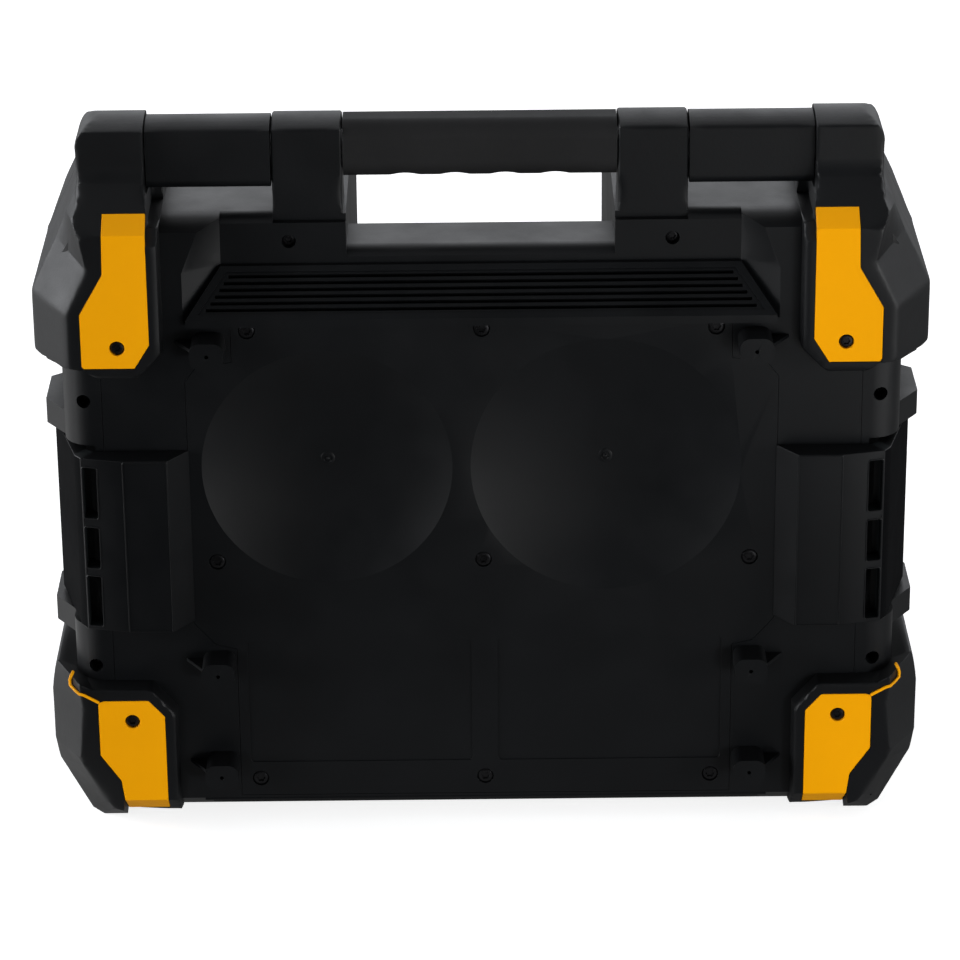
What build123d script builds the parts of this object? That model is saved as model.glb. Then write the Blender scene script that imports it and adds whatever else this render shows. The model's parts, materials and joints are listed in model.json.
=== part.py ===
"""Jobsite radio with a full-width carry handle, corner guards and stacking feet.

Frame: origin at the middle of the footprint, on the ground. +Z is up, +X is to
the right of somebody facing the front, the front looks along -Y and the back,
with its dished panel and stacking feet, looks along +Y. Millimetres.
"""
from math import cos, radians, sin, tan
import os

from build123d import *

os.makedirs("parts", exist_ok=True)

# ---------------------------------------------------------------- driving sizes
width = 440.0  # across the corner guards
depth = 240.0  # front guards to stacking feet
height = 372.0  # ground to the crown of the handle's end caps

guard_thickness = 12.0  # how far the guards stand off the front and the back
side_guard_thickness = 13.0
foot_height = 17.0  # stacking feet on the back
wall = 4.0
fit_gap = 0.3  # between pieces that move past each other
seam_gap = 0.2  # visible joint line between fixed pieces
pin_play = 0.05  # radial play of a pin in the piece that turns on it
flap_pin_play = 0.12  # the rubber flap turns more loosely
screw_play = 0.1  # radial play of a screw shank in its hole

# housing envelope
edge_x = width / 2
rear_y = depth / 2 - foot_height
front_y = -(depth / 2 - guard_thickness)
side_x = edge_x - side_guard_thickness
ground_clearance = 5.5
handle_rise = 47.0  # crown of the end caps above the flat top
deck_z = height - handle_rise  # flat top of the housing
deck_front_y = -50.0  # where the top starts to fall towards the front
brow_drop = 27.0  # from the flat top down to the upper edge of the front face
brow_z = deck_z - brow_drop
toe_chamfer = 14.0
heel_run = 13.0
heel_gap = 1.5
rear_corner_radius = 15.0
front_corner_radius = 8.0
side_bevel_x = 12.0  # long corner bevels under the guards
side_bevel_z = 21.0

# carry handle: every piece has an upright back and a crowned top
guard_width = 64.5
guard_inner_x = edge_x - guard_width
handle_y = rear_y - 30.0
handle_crown = 3.0  # rise of the crown over the rear edge
handle_top_z = height - 1.5
handle_height = 32.5
handle_depth = 28.0
handle_z = handle_top_z - handle_height / 2
handle_low_radius = 5.0
handle_front_radius = 8.0
handle_core_radius = 9.0
handle_tube_wall = 2.5
handle_core_seat = 20.0
handle_joint_gap = 0.6
console_half_width = 65.5
post_inner_x = console_half_width + 1.5
post_width = 34.0
post_outer_x = post_inner_x + post_width
post_depth = 31.0
post_y = rear_y - 16.5 - post_depth / 2
cap_inner_x = guard_inner_x + 7.0
cap_width = 33.0
cap_outer_x = cap_inner_x + cap_width
cap_depth = 36.0
cap_y = rear_y - 11.0 - cap_depth / 2
cap_corner_radius = 11.0
grip_height = 28.5
grip_depth = 27.0
grip_radius = 9.0

# finger recess and sloping console between the two speaker towers
recess_depth = 17.5
recess_floor_z = deck_z - recess_depth
recess_length = 51.0
crest_y = rear_y - recess_length
console_angle = 32.0
console_slab = 6.5
console_foot_z = recess_floor_z - (crest_y - front_y) * tan(radians(console_angle))
console_slab_z = console_slab / cos(radians(console_angle))

# stacking feet, the same on every module of the system
foot_x = guard_inner_x - 21.9
foot_rows = (deck_z - 61.5, 91.5, 34.7)
foot_width = 16.5
foot_tall = 13.5
foot_dimple_radius = 1.0
foot_dimple_depth = 4.0
foot_clearance = 0.6  # between a foot and the notch of the panel
foot_corner_radius = 5.0

# back
shell_split_y = rear_y - 21.7
rear_shell_half_width = side_x - 20.0
band_y = rear_y - 13.0
deck_fall = 3.5  # the top behind the split curves down by this much
panel_thickness = 4.0
panel_half_width = foot_x + 12.0
band_half_width = panel_half_width - 18.6
vent_half_width = panel_half_width - 1.6
vent_top_z = deck_z - 24.4
vent_lip_z = deck_z - 47.0
vent_lip_depth = 5.0
panel_notch_half_width = foot_x - foot_width / 2 - foot_clearance - seam_gap
panel_bottom_z = 16.3
panel_top_z = vent_lip_z
panel_lower_notch_z = foot_rows[1] + foot_tall / 2 + foot_clearance + seam_gap
panel_upper_notch_z = foot_rows[0] - 19.5

# corner guards and the side latches between them
guard_top_z = deck_z + 13.0
guard_low_z = deck_z - 75.0  # lower end of the upper guards
lower_guard_top_z = 82.0  # upper end of the lower guards
latch_low_z = lower_guard_top_z + 33.2
latch_high_z = guard_low_z - 42.2
latch_axis_x = side_x + 2.0
latch_axis_y = rear_y - 45.0
latch_pin_radius = 2.5
latch_knuckle_radius = 6.0

# device bay and its door
bay_half_width = 56.0
bay_low_z = 42.0
bay_high_z = console_foot_z - 23.5
bay_depth = 104.0
bay_wall = 2.5
bay_flange = 5.0
bay_z = (bay_low_z + bay_high_z) / 2
bay_height = bay_high_z - bay_low_z
door_skin = 4.0
door_pin_radius = 2.0
door_barrel_radius = 5.0
door_axis_z = bay_low_z - 8.0
door_axis_y = front_y - door_barrel_radius - 2 * fit_gap
door_knuckle_x = bay_half_width - 30.0
door_knuckle_length = 14.0

# speakers fill the front between the bay and the side walls
speaker_bay_margin = 8.0
speaker_side_margin = 12.0
speaker_inner_x = bay_half_width + bay_flange + speaker_bay_margin
woofer_flange_radius = (side_x - speaker_side_margin - speaker_inner_x) / 2
woofer_opening_radius = woofer_flange_radius - 4.0
woofer_x = speaker_inner_x + woofer_flange_radius
tweeter_x = woofer_x - 20.0
tweeter_z = brow_z - 32.0
tweeter_radius = 15.0
tweeter_flange = 4.0

# sockets
port_x = -tweeter_x
port_z = 52.0
port_width = 44.0
port_height = 22.0
port_lip_x = 4.0
port_lip_z = 3.0
flap_rise = 15.5  # hinge of the flap above the middle of the sockets
woofer_z = (port_z + flap_rise + 6.5 + tweeter_z - tweeter_radius - tweeter_flange) / 2


def upright(y):
    """Plane across the radio at depth y: its x is X, its y is Z, its normal is -Y."""
    return Plane.XZ.offset(-y)


def side_section(x):
    """Plane along the radio at width x: its x is Y, its y is Z, its normal is +X."""
    return Plane.YZ.offset(x)


def finish(builder, name):
    """Label a finished piece and write it."""
    builder.part.label = name
    export_step(builder.part, f"parts/{name}.step")


def mirrored(source, about):
    """A mirror image of a finished piece."""
    with BuildPart() as copy:
        mirror(source.part, about=about)
    return copy


def turned(x, z, outline):
    """Body turned about the line along Y through (x, z), from (radius, y) points."""
    with BuildPart() as body:
        with BuildSketch(Plane.XY.offset(z)):
            with BuildLine():
                Polyline(*[(x + radius, y) for radius, y in outline], close=True)
            make_face()
        revolve(axis=Axis((x, 0, z), (0, 1, 0)))
    return body


# ---------------------------------------------------------------- console slope
console_plane = Plane(
    origin=(
        0,
        (crest_y + front_y) / 2,
        recess_floor_z - (crest_y - front_y) / 2 * tan(radians(console_angle)),
    ),
    x_dir=(1, 0, 0),
    z_dir=(0, -sin(radians(console_angle)), cos(radians(console_angle))),
)
fascia_width = 124.0
fascia_length = 152.0
fascia_thickness = 3.0
fascia_opening_margin = 5.0

console_axis = Axis((0, 0, 0), console_plane.z_dir)

# ---------------------------------------------------------------- housing envelope
with BuildPart() as housing_envelope:
    with BuildSketch(side_section(-side_x)):
        with BuildLine():
            Polyline(
                (front_y, ground_clearance + toe_chamfer),
                (front_y + toe_chamfer, ground_clearance),
                (rear_y - heel_run, ground_clearance),
                (rear_y, panel_bottom_z - heel_gap),
                (rear_y, deck_z - 3),
                (rear_y - 3, deck_z),
                (deck_front_y, deck_z),
                (front_y, brow_z),
                close=True,
            )
        make_face()
    extrude(amount=2 * side_x)
    upright_edges = housing_envelope.edges().filter_by(Axis.Z)
    fillet(upright_edges.group_by(Axis.Y)[-1], rear_corner_radius)
    upright_edges = housing_envelope.edges().filter_by(Axis.Z)
    fillet(upright_edges.group_by(Axis.Y)[0], front_corner_radius)
    # long bevels that the guards wrap round
    for side in (1, -1):
        for edge_z, drop in ((deck_z, -side_bevel_z), (ground_clearance, side_bevel_z)):
            with BuildSketch(upright(depth / 2)):
                with BuildLine():
                    Polyline(
                        (side * (side_x - side_bevel_x), edge_z),
                        (side * side_x, edge_z + drop),
                        (side * (side_x + 1), edge_z - drop),
                        close=True,
                    )
                make_face()
            extrude(amount=depth, mode=Mode.SUBTRACT)

# ---------------------------------------------------------------- front shell
tower_inner_x = console_half_width + wall
cavity_half_width = rear_shell_half_width - 1
column_y = 30.0  # the solid rear corner columns start here
column_inner_z = 40.0
latch_pocket_x = side_x - 16.0
latch_pocket_y = latch_axis_y - 15.0
latch_end_gap = 3.0
ear_thickness = 13.0
ear_gap = 1.5
ear_reach = side_x + 11.0
ear_length = 48.0
latch_pin_foot_z = latch_low_z - ear_gap - ear_thickness + 3
latch_pin_length = latch_high_z - latch_low_z + 2 * ear_gap + 2 * ear_thickness - 6
screw_shank_radius = 1.5
screw_shank_length = 10.0
column_screw_x = side_x - 11.0
column_screw_rows = (234.0, 90.3)
column_screw_radius = 3.5
column_screws = [(side * column_screw_x, z) for side in (1, -1) for z in column_screw_rows]
band_screw_x = post_outer_x - 7.5
band_screw_z = deck_z - 13.0
band_screws = [(side * band_screw_x, band_screw_z) for side in (1, -1)]
housing_screw_depth = 12.0
band_screw_depth = 5.0
band_boss_width = 13.0
band_boss_length = 12.0
housing_screw_head = 2.0

cavity_floor_points = [
    (front_y + wall, ground_clearance + toe_chamfer + wall),
    (front_y + toe_chamfer + wall, ground_clearance + wall),
    (shell_split_y + 1, ground_clearance + wall),
]
tower_points = cavity_floor_points + [
    (shell_split_y + 1, deck_z - wall),
    (deck_front_y, deck_z - wall),
    (front_y + wall, brow_z - wall),
]
middle_points = cavity_floor_points + [
    (shell_split_y + 1, recess_floor_z - wall),
    (crest_y + 8, recess_floor_z - wall),
    (crest_y, recess_floor_z - console_slab_z),
    (front_y + wall, console_foot_z + wall * tan(radians(console_angle)) - console_slab_z),
]


with BuildPart() as front_shell:
    add(housing_envelope.part)
    # the back is open for the rear shell
    with Locations((0, shell_split_y, 0)):
        Box(
            2 * rear_shell_half_width,
            depth,
            2 * height,
            align=(Align.CENTER, Align.MIN, Align.CENTER),
            mode=Mode.SUBTRACT,
        )
    # finger recess and console slope
    with BuildSketch(side_section(-console_half_width)):
        with BuildLine():
            Polyline(
                (depth, recess_floor_z),
                (crest_y, recess_floor_z),
                (front_y, console_foot_z),
                (-depth, console_foot_z),
                (-depth, height),
                (depth, height),
                close=True,
            )
        make_face()
    extrude(amount=2 * console_half_width, mode=Mode.SUBTRACT)
    # speaker towers, hollow
    for side in (1, -1):
        with BuildSketch(side_section(side * tower_inner_x)):
            with BuildLine():
                Polyline(*tower_points, close=True)
            make_face()
        extrude(amount=side * (cavity_half_width - tower_inner_x), mode=Mode.SUBTRACT)
    # middle, hollow under the console
    with BuildSketch(side_section(-tower_inner_x)):
        with BuildLine():
            Polyline(*middle_points, close=True)
        make_face()
    extrude(amount=2 * tower_inner_x, mode=Mode.SUBTRACT)
    # side bays beside the woofers
    side_bay_x = cavity_half_width - 1
    side_bay_y = (front_y + wall + column_y) / 2
    side_bay_z = (brow_z - wall + column_inner_z) / 2
    with Locations((side_bay_x, side_bay_y, side_bay_z), (-side_bay_x, side_bay_y, side_bay_z)):
        Box(
            2 * (side_x - wall - side_bay_x),
            column_y - front_y - wall,
            brow_z - wall - column_inner_z,
            mode=Mode.SUBTRACT,
        )
    # woofer and tweeter openings
    with BuildSketch(upright(front_y)):
        with Locations((woofer_x, woofer_z), (-woofer_x, woofer_z)):
            Circle(woofer_opening_radius)
        with Locations((tweeter_x, tweeter_z), (-tweeter_x, tweeter_z)):
            Circle(tweeter_radius)
        with Locations((0, bay_z)):
            RectangleRounded(2 * bay_half_width, bay_height, 4)
        with Locations((port_x, port_z)):
            RectangleRounded(port_width - 2 * port_lip_x, port_height - 2 * port_lip_z, 3)
    extrude(amount=-wall - 1, mode=Mode.SUBTRACT)
    # seat and opening of the control fascia
    with BuildSketch(console_plane):
        Rectangle(fascia_width, fascia_length)
    extrude(amount=-fascia_thickness, mode=Mode.SUBTRACT)
    with BuildSketch(console_plane):
        Rectangle(
            fascia_width - 2 * fascia_opening_margin,
            fascia_length - 2 * fascia_opening_margin,
        )
    extrude(amount=-4 * wall, mode=Mode.SUBTRACT)
    # pockets for the side latches, and the ears that carry their pins
    for side in (1, -1):
        with Locations((side * latch_pocket_x, latch_pocket_y, latch_low_z - latch_end_gap)):
            Box(
                width,
                depth,
                latch_high_z - latch_low_z + 2 * latch_end_gap,
                align=(Align.MIN if side > 0 else Align.MAX, Align.MIN, Align.MIN),
                mode=Mode.SUBTRACT,
            )
        for ear_z in (latch_high_z + ear_gap, latch_low_z - ear_gap - ear_thickness):
            with BuildSketch(Plane.XY.offset(ear_z)):
                with BuildLine():
                    Polyline(
                        (side * (side_x - wall), latch_axis_y - ear_length / 2 - 8),
                        (side * ear_reach, latch_axis_y - ear_length / 2 + 4),
                        (side * ear_reach, latch_axis_y + ear_length / 2 - 14),
                        (side * (side_x - wall), latch_axis_y + ear_length / 2 + 8),
                        close=True,
                    )
                make_face()
            extrude(amount=ear_thickness)
        with Locations((side * latch_axis_x, latch_axis_y, latch_pin_foot_z)):
            Cylinder(
                latch_pin_radius + 0.02,
                latch_pin_length,
                align=(Align.CENTER, Align.CENTER, Align.MIN),
                mode=Mode.SUBTRACT,
            )
    # deep screw holes in the rear corner columns
    with BuildSketch(upright(rear_y)):
        with Locations(column_screws):
            Circle(column_screw_radius)
    extrude(amount=housing_screw_depth, mode=Mode.SUBTRACT)
    with BuildSketch(upright(rear_y - housing_screw_depth)):
        with Locations(column_screws):
            Circle(screw_shank_radius + screw_play)
    extrude(amount=screw_shank_length + 1, mode=Mode.SUBTRACT)
    # blocks under the deck that take the band screws
    boss_top_z = deck_z - wall + 1
    with Locations([(x, shell_split_y, boss_top_z) for x, z in band_screws]):
        Box(
            band_boss_width,
            band_boss_length,
            boss_top_z - band_screw_z + band_boss_width / 2,
            align=(Align.CENTER, Align.MAX, Align.MAX),
        )
    with BuildSketch(upright(shell_split_y)):
        with Locations(band_screws):
            Circle(screw_shank_radius + screw_play)
    extrude(amount=screw_shank_length, mode=Mode.SUBTRACT)
    # outer knuckles of the door hinge
    for side in (1, -1):
        with BuildSketch(side_section(side * door_knuckle_x)):
            with Locations((door_axis_y, door_axis_z)):
                Circle(door_barrel_radius)
            with BuildLine():
                Polyline(
                    (door_axis_y, door_axis_z + 3.5),
                    (front_y + 1, door_axis_z + 3.5),
                    (front_y + 1, door_axis_z - 9),
                    (door_axis_y, door_axis_z - 4.9),
                    close=True,
                )
            make_face()
        extrude(amount=side * door_knuckle_length)
        with BuildSketch(side_section(side * (door_knuckle_x - 1))):
            with Locations((door_axis_y, door_axis_z)):
                Circle(door_pin_radius + 0.02)
        extrude(amount=side * (door_knuckle_length - 2), mode=Mode.SUBTRACT)
finish(front_shell, "front_shell")

# ---------------------------------------------------------------- rear shell
vent_slots = 6
slot_height = 1.7
vent_border = 3.0
vent_field_depth = 0.8
slot_depth = 7.0
band_lean = 10.0  # how far the slanted ends of the band lean inwards
ledge = 12.0
panel_screw_radius = 3.9
panel_screw_head = 1.5
panel_screw_recess = 1.8
panel_edge_screw_x = panel_half_width - 12.7
panel_row_screw_x = panel_notch_half_width - 9.8
panel_screw_tops = panel_top_z - 7.6
panel_screw_bottoms = panel_bottom_z + 9.5
panel_mid_z = (panel_bottom_z + panel_top_z) / 2
panel_screws = (
    [(x, panel_screw_tops) for x in (-panel_row_screw_x, 0, panel_row_screw_x)]
    + [(x, panel_mid_z) for x in (-panel_edge_screw_x, 0, panel_edge_screw_x)]
    + [(x, panel_screw_bottoms) for x in (-panel_row_screw_x, 0, panel_row_screw_x)]
)

# two dished fields side by side on the back panel, the left one a little larger
dish_margin_right = 6.6
dish_margin_left = 17.6
dish_gap = 9.0
dish_difference = 5.0
dish_span = 2 * panel_half_width - dish_margin_left - dish_gap - dish_margin_right
dish_radius_right = dish_span / 4 - dish_difference / 2
dish_radius_left = dish_span / 4 + dish_difference / 2
dish_z = panel_top_z - 80.5
dish_depth = 13.0
dish_wall = 2.5
dish_taper = 34.0  # the back of a dish narrows by this much
dishes = (
    (panel_half_width - dish_margin_right - dish_radius_right, dish_radius_right),
    (-panel_half_width + dish_margin_left + dish_radius_left, dish_radius_left),
)

# bare fields for a rating label, low on the panel
label_inner_x = 6.5
label_outer_x = panel_notch_half_width - 5.0
label_low_z = panel_bottom_z + 18.7
label_high_z = panel_bottom_z + 87.2
label_depth = 0.6
label_spots = [
    (side * (label_inner_x + label_outer_x) / 2, (label_low_z + label_high_z) / 2)
    for side in (1, -1)
]


def spherical_cap(centre_x, centre_z, rim_radius, cap_depth, face_y):
    """Lens between a flat face at face_y and a sphere that dips in front of it."""
    ball = (rim_radius**2 + cap_depth**2) / (2 * cap_depth)
    with BuildPart() as cap:
        with BuildSketch(Plane.XY.offset(centre_z)):
            with BuildLine():
                Line((centre_x, face_y), (centre_x + rim_radius, face_y))
                RadiusArc((centre_x + rim_radius, face_y), (centre_x, face_y - cap_depth), ball)
                Line((centre_x, face_y - cap_depth), (centre_x, face_y))
            make_face()
        revolve(axis=Axis((centre_x, 0, centre_z), (0, 1, 0)))
    return cap.part


def dish_backing(centre_x, rim_radius, grow):
    """Blunt cone behind a dish, or with some growth the room for it."""
    face_y = rear_y - dish_wall
    outer = rim_radius + dish_wall + grow
    deep_y = face_y - dish_depth - grow
    outline = [(0, face_y), (outer, face_y), (outer - dish_taper, deep_y), (0, deep_y)]
    return turned(centre_x, dish_z, outline).part


def panel_outline(grow):
    """Outline of the back panel, notched round the stacking feet."""
    with BuildSketch() as outline:
        with BuildLine():
            right = [
                (panel_notch_half_width, panel_bottom_z),
                (panel_notch_half_width, panel_lower_notch_z),
                (panel_notch_half_width + 10.5, panel_lower_notch_z + 2.5),
                (panel_half_width, panel_lower_notch_z + 14.5),
                (panel_half_width, panel_upper_notch_z),
                (panel_half_width - 6, panel_upper_notch_z + 8),
                (panel_notch_half_width - 2, panel_upper_notch_z + 10),
                (panel_notch_half_width - 2, panel_top_z),
            ]
            left = [(-x, z) for x, z in reversed(right)]
            Polyline(*right, *left, close=True)
        make_face()
        if grow:
            offset(amount=grow, kind=Kind.INTERSECTION)
    return outline.sketch


def rounded_over(low_x, high_x, start_y, end_y, top_z):
    """Cut that lets a flat top fall away in an arc towards the back."""
    end_z = top_z - deck_fall
    with BuildPart() as cut:
        with BuildSketch(side_section(low_x)):
            with BuildLine():
                TangentArc((start_y, top_z), (end_y, end_z), tangent=(1, 0))
                Polyline(
                    (end_y, end_z),
                    (end_y + 1, end_z),
                    (end_y + 1, top_z + 1),
                    (start_y, top_z + 1),
                    (start_y, top_z),
                )
            make_face()
        extrude(amount=high_x - low_x)
    return cut.part


vent_rise = vent_top_z - vent_lip_z
vent_run = rear_y + vent_lip_depth - (band_y + 3)
vent_angle_length = (vent_rise**2 + vent_run**2) ** 0.5

with BuildPart() as rear_shell:
    with Locations((0, shell_split_y, ground_clearance)):
        Box(
            2 * (rear_shell_half_width - seam_gap),
            rear_y - shell_split_y,
            deck_z - ground_clearance,
            align=(Align.CENTER, Align.MIN, Align.MIN),
        )
    # hollow behind the panel's seat and behind the band
    inner_half_width = rear_shell_half_width - wall
    seat_y = rear_y - panel_thickness
    with Locations((0, shell_split_y, panel_bottom_z + wall)):
        Box(
            2 * inner_half_width,
            seat_y - wall - shell_split_y,
            panel_top_z - 2 * wall - panel_bottom_z - wall,
            align=(Align.CENTER, Align.MIN, Align.MIN),
            mode=Mode.SUBTRACT,
        )
    with Locations((0, shell_split_y, panel_top_z - 3 * wall)):
        Box(
            2 * inner_half_width,
            band_y - wall - shell_split_y,
            recess_floor_z - wall - panel_top_z + 3 * wall,
            align=(Align.CENTER, Align.MIN, Align.MIN),
            mode=Mode.SUBTRACT,
        )
    # the top curves down behind the split
    for side in (1, -1):
        add(
            rounded_over(
                side * post_outer_x, side * rear_shell_half_width, shell_split_y, rear_y, deck_z
            ),
            mode=Mode.SUBTRACT,
        )
    # recessed band behind the handle posts; its slanted ends lean inwards above the vent
    band_levels = (
        (panel_top_z - 3, panel_half_width),
        (vent_top_z, panel_half_width),
        (deck_z + 1, panel_half_width - band_lean),
    )
    for (low_z, low_x), (high_z, high_x) in zip(band_levels, band_levels[1:]):
        for level_z, outer_x in ((low_z, low_x), (high_z, high_x)):
            with BuildSketch(Plane.XY.offset(level_z)):
                with BuildLine():
                    Polyline(
                        (-band_half_width, band_y),
                        (band_half_width, band_y),
                        (outer_x, rear_y + 0.1),
                        (-outer_x, rear_y + 0.1),
                        close=True,
                    )
                make_face()
        loft(ruled=True, mode=Mode.SUBTRACT)
    # its top falls away too, in a step behind the posts and in an arc beside them
    post_back_y = post_y + post_depth / 2
    for side in (1, -1):
        with Locations((side * console_half_width, post_back_y, deck_z - deck_fall)):
            Box(
                post_outer_x - console_half_width,
                wall,
                wall,
                align=(Align.MIN if side > 0 else Align.MAX, Align.MIN, Align.MIN),
                mode=Mode.SUBTRACT,
            )
        add(
            rounded_over(
                side * post_outer_x, side * band_half_width, shell_split_y, band_y, deck_z
            ),
            mode=Mode.SUBTRACT,
        )
    # finger recess
    with Locations((0, shell_split_y, recess_floor_z)):
        Box(
            2 * console_half_width,
            depth,
            height,
            align=(Align.CENTER, Align.CENTER, Align.MIN),
            mode=Mode.SUBTRACT,
        )
    add(
        rounded_over(
            -console_half_width, console_half_width, shell_split_y, band_y, recess_floor_z
        ),
        mode=Mode.SUBTRACT,
    )
    # sloping vent above the panel, standing out to a lip
    with BuildSketch(Plane.XY.offset(vent_lip_z)):
        with Locations((0, shell_split_y)):
            Rectangle(
                2 * vent_half_width,
                rear_y + vent_lip_depth - shell_split_y,
                align=(Align.CENTER, Align.MIN),
            )
    with BuildSketch(Plane.XY.offset(vent_top_z)):
        with Locations((0, shell_split_y)):
            Rectangle(
                2 * band_half_width,
                band_y + 3 - shell_split_y,
                align=(Align.CENTER, Align.MIN),
            )
    loft(ruled=True)
    with Locations((0, shell_split_y, vent_lip_z)):
        Box(
            2 * vent_half_width,
            rear_y + vent_lip_depth - shell_split_y,
            4,
            align=(Align.CENTER, Align.MIN, Align.MAX),
        )
    # chamfered underside of the back edge
    with BuildSketch(side_section(-rear_shell_half_width)):
        with BuildLine():
            Polyline(
                (rear_y - heel_run, ground_clearance),
                (rear_y, panel_bottom_z - heel_gap),
                (rear_y + 1, ground_clearance),
                close=True,
            )
        make_face()
    extrude(amount=2 * rear_shell_half_width, mode=Mode.SUBTRACT)
    # seat of the back panel, and the hole behind it
    with BuildSketch(upright(rear_y)):
        add(panel_outline(seam_gap))
    extrude(amount=panel_thickness, mode=Mode.SUBTRACT)
    with BuildSketch(upright(rear_y)):
        with Locations((0, (panel_bottom_z + panel_top_z) / 2)):
            Rectangle(
                2 * (panel_notch_half_width - ledge - 6),
                panel_top_z - panel_bottom_z - 3 * ledge,
            )
    extrude(amount=rear_y - shell_split_y, mode=Mode.SUBTRACT)
    # middle rib that carries the centre screw, and room for the dished fields
    with Locations((0, seat_y, panel_bottom_z)):
        Box(
            2.5 * wall,
            4 * wall,
            panel_top_z - 2 * wall - panel_bottom_z,
            align=(Align.CENTER, Align.MAX, Align.MIN),
        )
    for dish_x, dish_radius in dishes:
        add(dish_backing(dish_x, dish_radius, 2 * fit_gap), mode=Mode.SUBTRACT)
    # stacking feet
    for foot_z in foot_rows:
        for side in (1, -1):
            with BuildSketch(upright(rear_y + foot_height)):
                with Locations((side * foot_x, foot_z)):
                    RectangleRounded(foot_width, foot_tall, foot_corner_radius)
            extrude(amount=foot_height + 2)
            # gusset that braces the foot on its outer side
            with BuildSketch(Plane.XY.offset(foot_z + 1)):
                with BuildLine():
                    Polyline(
                        (side * foot_x, rear_y - 1),
                        (side * foot_x, rear_y + foot_height - 4),
                        (side * (foot_x + foot_width / 2), rear_y + foot_height - 4),
                        (side * (foot_x + foot_width / 2 + 9), rear_y - 1),
                        close=True,
                    )
                make_face()
            extrude(amount=foot_tall / 2 - foot_corner_radius)
            with BuildSketch(upright(rear_y + foot_height)):
                with Locations((side * foot_x, foot_z)):
                    Circle(foot_dimple_radius)
            extrude(amount=foot_dimple_depth, mode=Mode.SUBTRACT)
    # slots of the vent
    vent_plane = Plane(
        origin=(0, (rear_y + vent_lip_depth + band_y + 3) / 2, (vent_top_z + vent_lip_z) / 2),
        x_dir=(1, 0, 0),
        z_dir=(0, vent_rise / vent_angle_length, vent_run / vent_angle_length),
    )
    field_half = vent_angle_length / 2 - vent_border
    with BuildSketch(vent_plane):
        with BuildLine():
            Polyline(
                (-band_half_width + vent_border, -field_half),
                (band_half_width - vent_border, -field_half),
                (vent_half_width - 2 * vent_border, field_half),
                (-vent_half_width + 2 * vent_border, field_half),
                close=True,
            )
        make_face()
    extrude(amount=-vent_field_depth, mode=Mode.SUBTRACT)
    slot_pitch = (vent_angle_length - 2 * vent_border - 1) / vent_slots
    with BuildSketch(vent_plane):
        for index in range(vent_slots):
            drop = (index - (vent_slots - 1) / 2) * slot_pitch
            slot_width = 2 * (band_half_width - 5) + (index + 0.5) * 2.2 * 2
            with Locations((0, drop)):
                Rectangle(slot_width, slot_height)
    extrude(amount=-slot_depth, mode=Mode.SUBTRACT)
    # holes of the two band screws
    with BuildSketch(upright(band_y)):
        with Locations(band_screws):
            Circle(column_screw_radius)
    extrude(amount=band_screw_depth, mode=Mode.SUBTRACT)
    with BuildSketch(upright(band_y - band_screw_depth)):
        with Locations(band_screws):
            Circle(screw_shank_radius + screw_play)
    extrude(amount=depth, mode=Mode.SUBTRACT)
    # pilot holes of the panel screws
    with BuildSketch(upright(rear_y - panel_thickness)):
        with Locations(panel_screws):
            Circle(screw_shank_radius + screw_play)
    extrude(amount=screw_shank_length - panel_thickness + panel_screw_recess, mode=Mode.SUBTRACT)
finish(rear_shell, "rear_shell")

# ---------------------------------------------------------------- rear panel
with BuildPart() as rear_panel:
    with BuildSketch(upright(rear_y)):
        add(panel_outline(0))
    extrude(amount=panel_thickness)
    for dish_x, dish_radius in dishes:
        add(dish_backing(dish_x, dish_radius, 0))
    for dish_x, dish_radius in dishes:
        add(spherical_cap(dish_x, dish_z, dish_radius, dish_depth, rear_y), mode=Mode.SUBTRACT)
    with BuildSketch(upright(rear_y)):
        with Locations(label_spots):
            RectangleRounded(label_outer_x - label_inner_x, label_high_z - label_low_z, 2)
    extrude(amount=label_depth, mode=Mode.SUBTRACT)
    with BuildSketch(upright(rear_y)):
        with Locations(panel_screws):
            Circle(panel_screw_radius + fit_gap)
    extrude(amount=panel_screw_recess, mode=Mode.SUBTRACT)
    with BuildSketch(upright(rear_y)):
        with Locations(panel_screws):
            Circle(screw_shank_radius + screw_play)
    extrude(amount=panel_thickness, mode=Mode.SUBTRACT)
finish(rear_panel, "rear_panel")

# ---------------------------------------------------------------- panel screws
with BuildPart() as panel_screw_set:
    with BuildSketch(upright(rear_y - panel_screw_recess)):
        with Locations(panel_screws):
            Circle(panel_screw_radius)
    extrude(amount=-panel_screw_head)
    with BuildSketch(upright(rear_y - panel_screw_recess)):
        with Locations(panel_screws):
            Circle(screw_shank_radius)
    extrude(amount=screw_shank_length - 1)
finish(panel_screw_set, "panel_screws")

# ---------------------------------------------------------------- housing screws
with BuildPart() as housing_screw_set:
    for spots, bottom_y in (
        (column_screws, rear_y - housing_screw_depth),
        (band_screws, band_y - band_screw_depth),
    ):
        with BuildSketch(upright(bottom_y)):
            with Locations(spots):
                Circle(column_screw_radius - fit_gap)
        extrude(amount=-housing_screw_head)
        with BuildSketch(upright(bottom_y)):
            with Locations(spots):
                Circle(screw_shank_radius)
        extrude(amount=screw_shank_length)
finish(housing_screw_set, "housing_screws")

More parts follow.
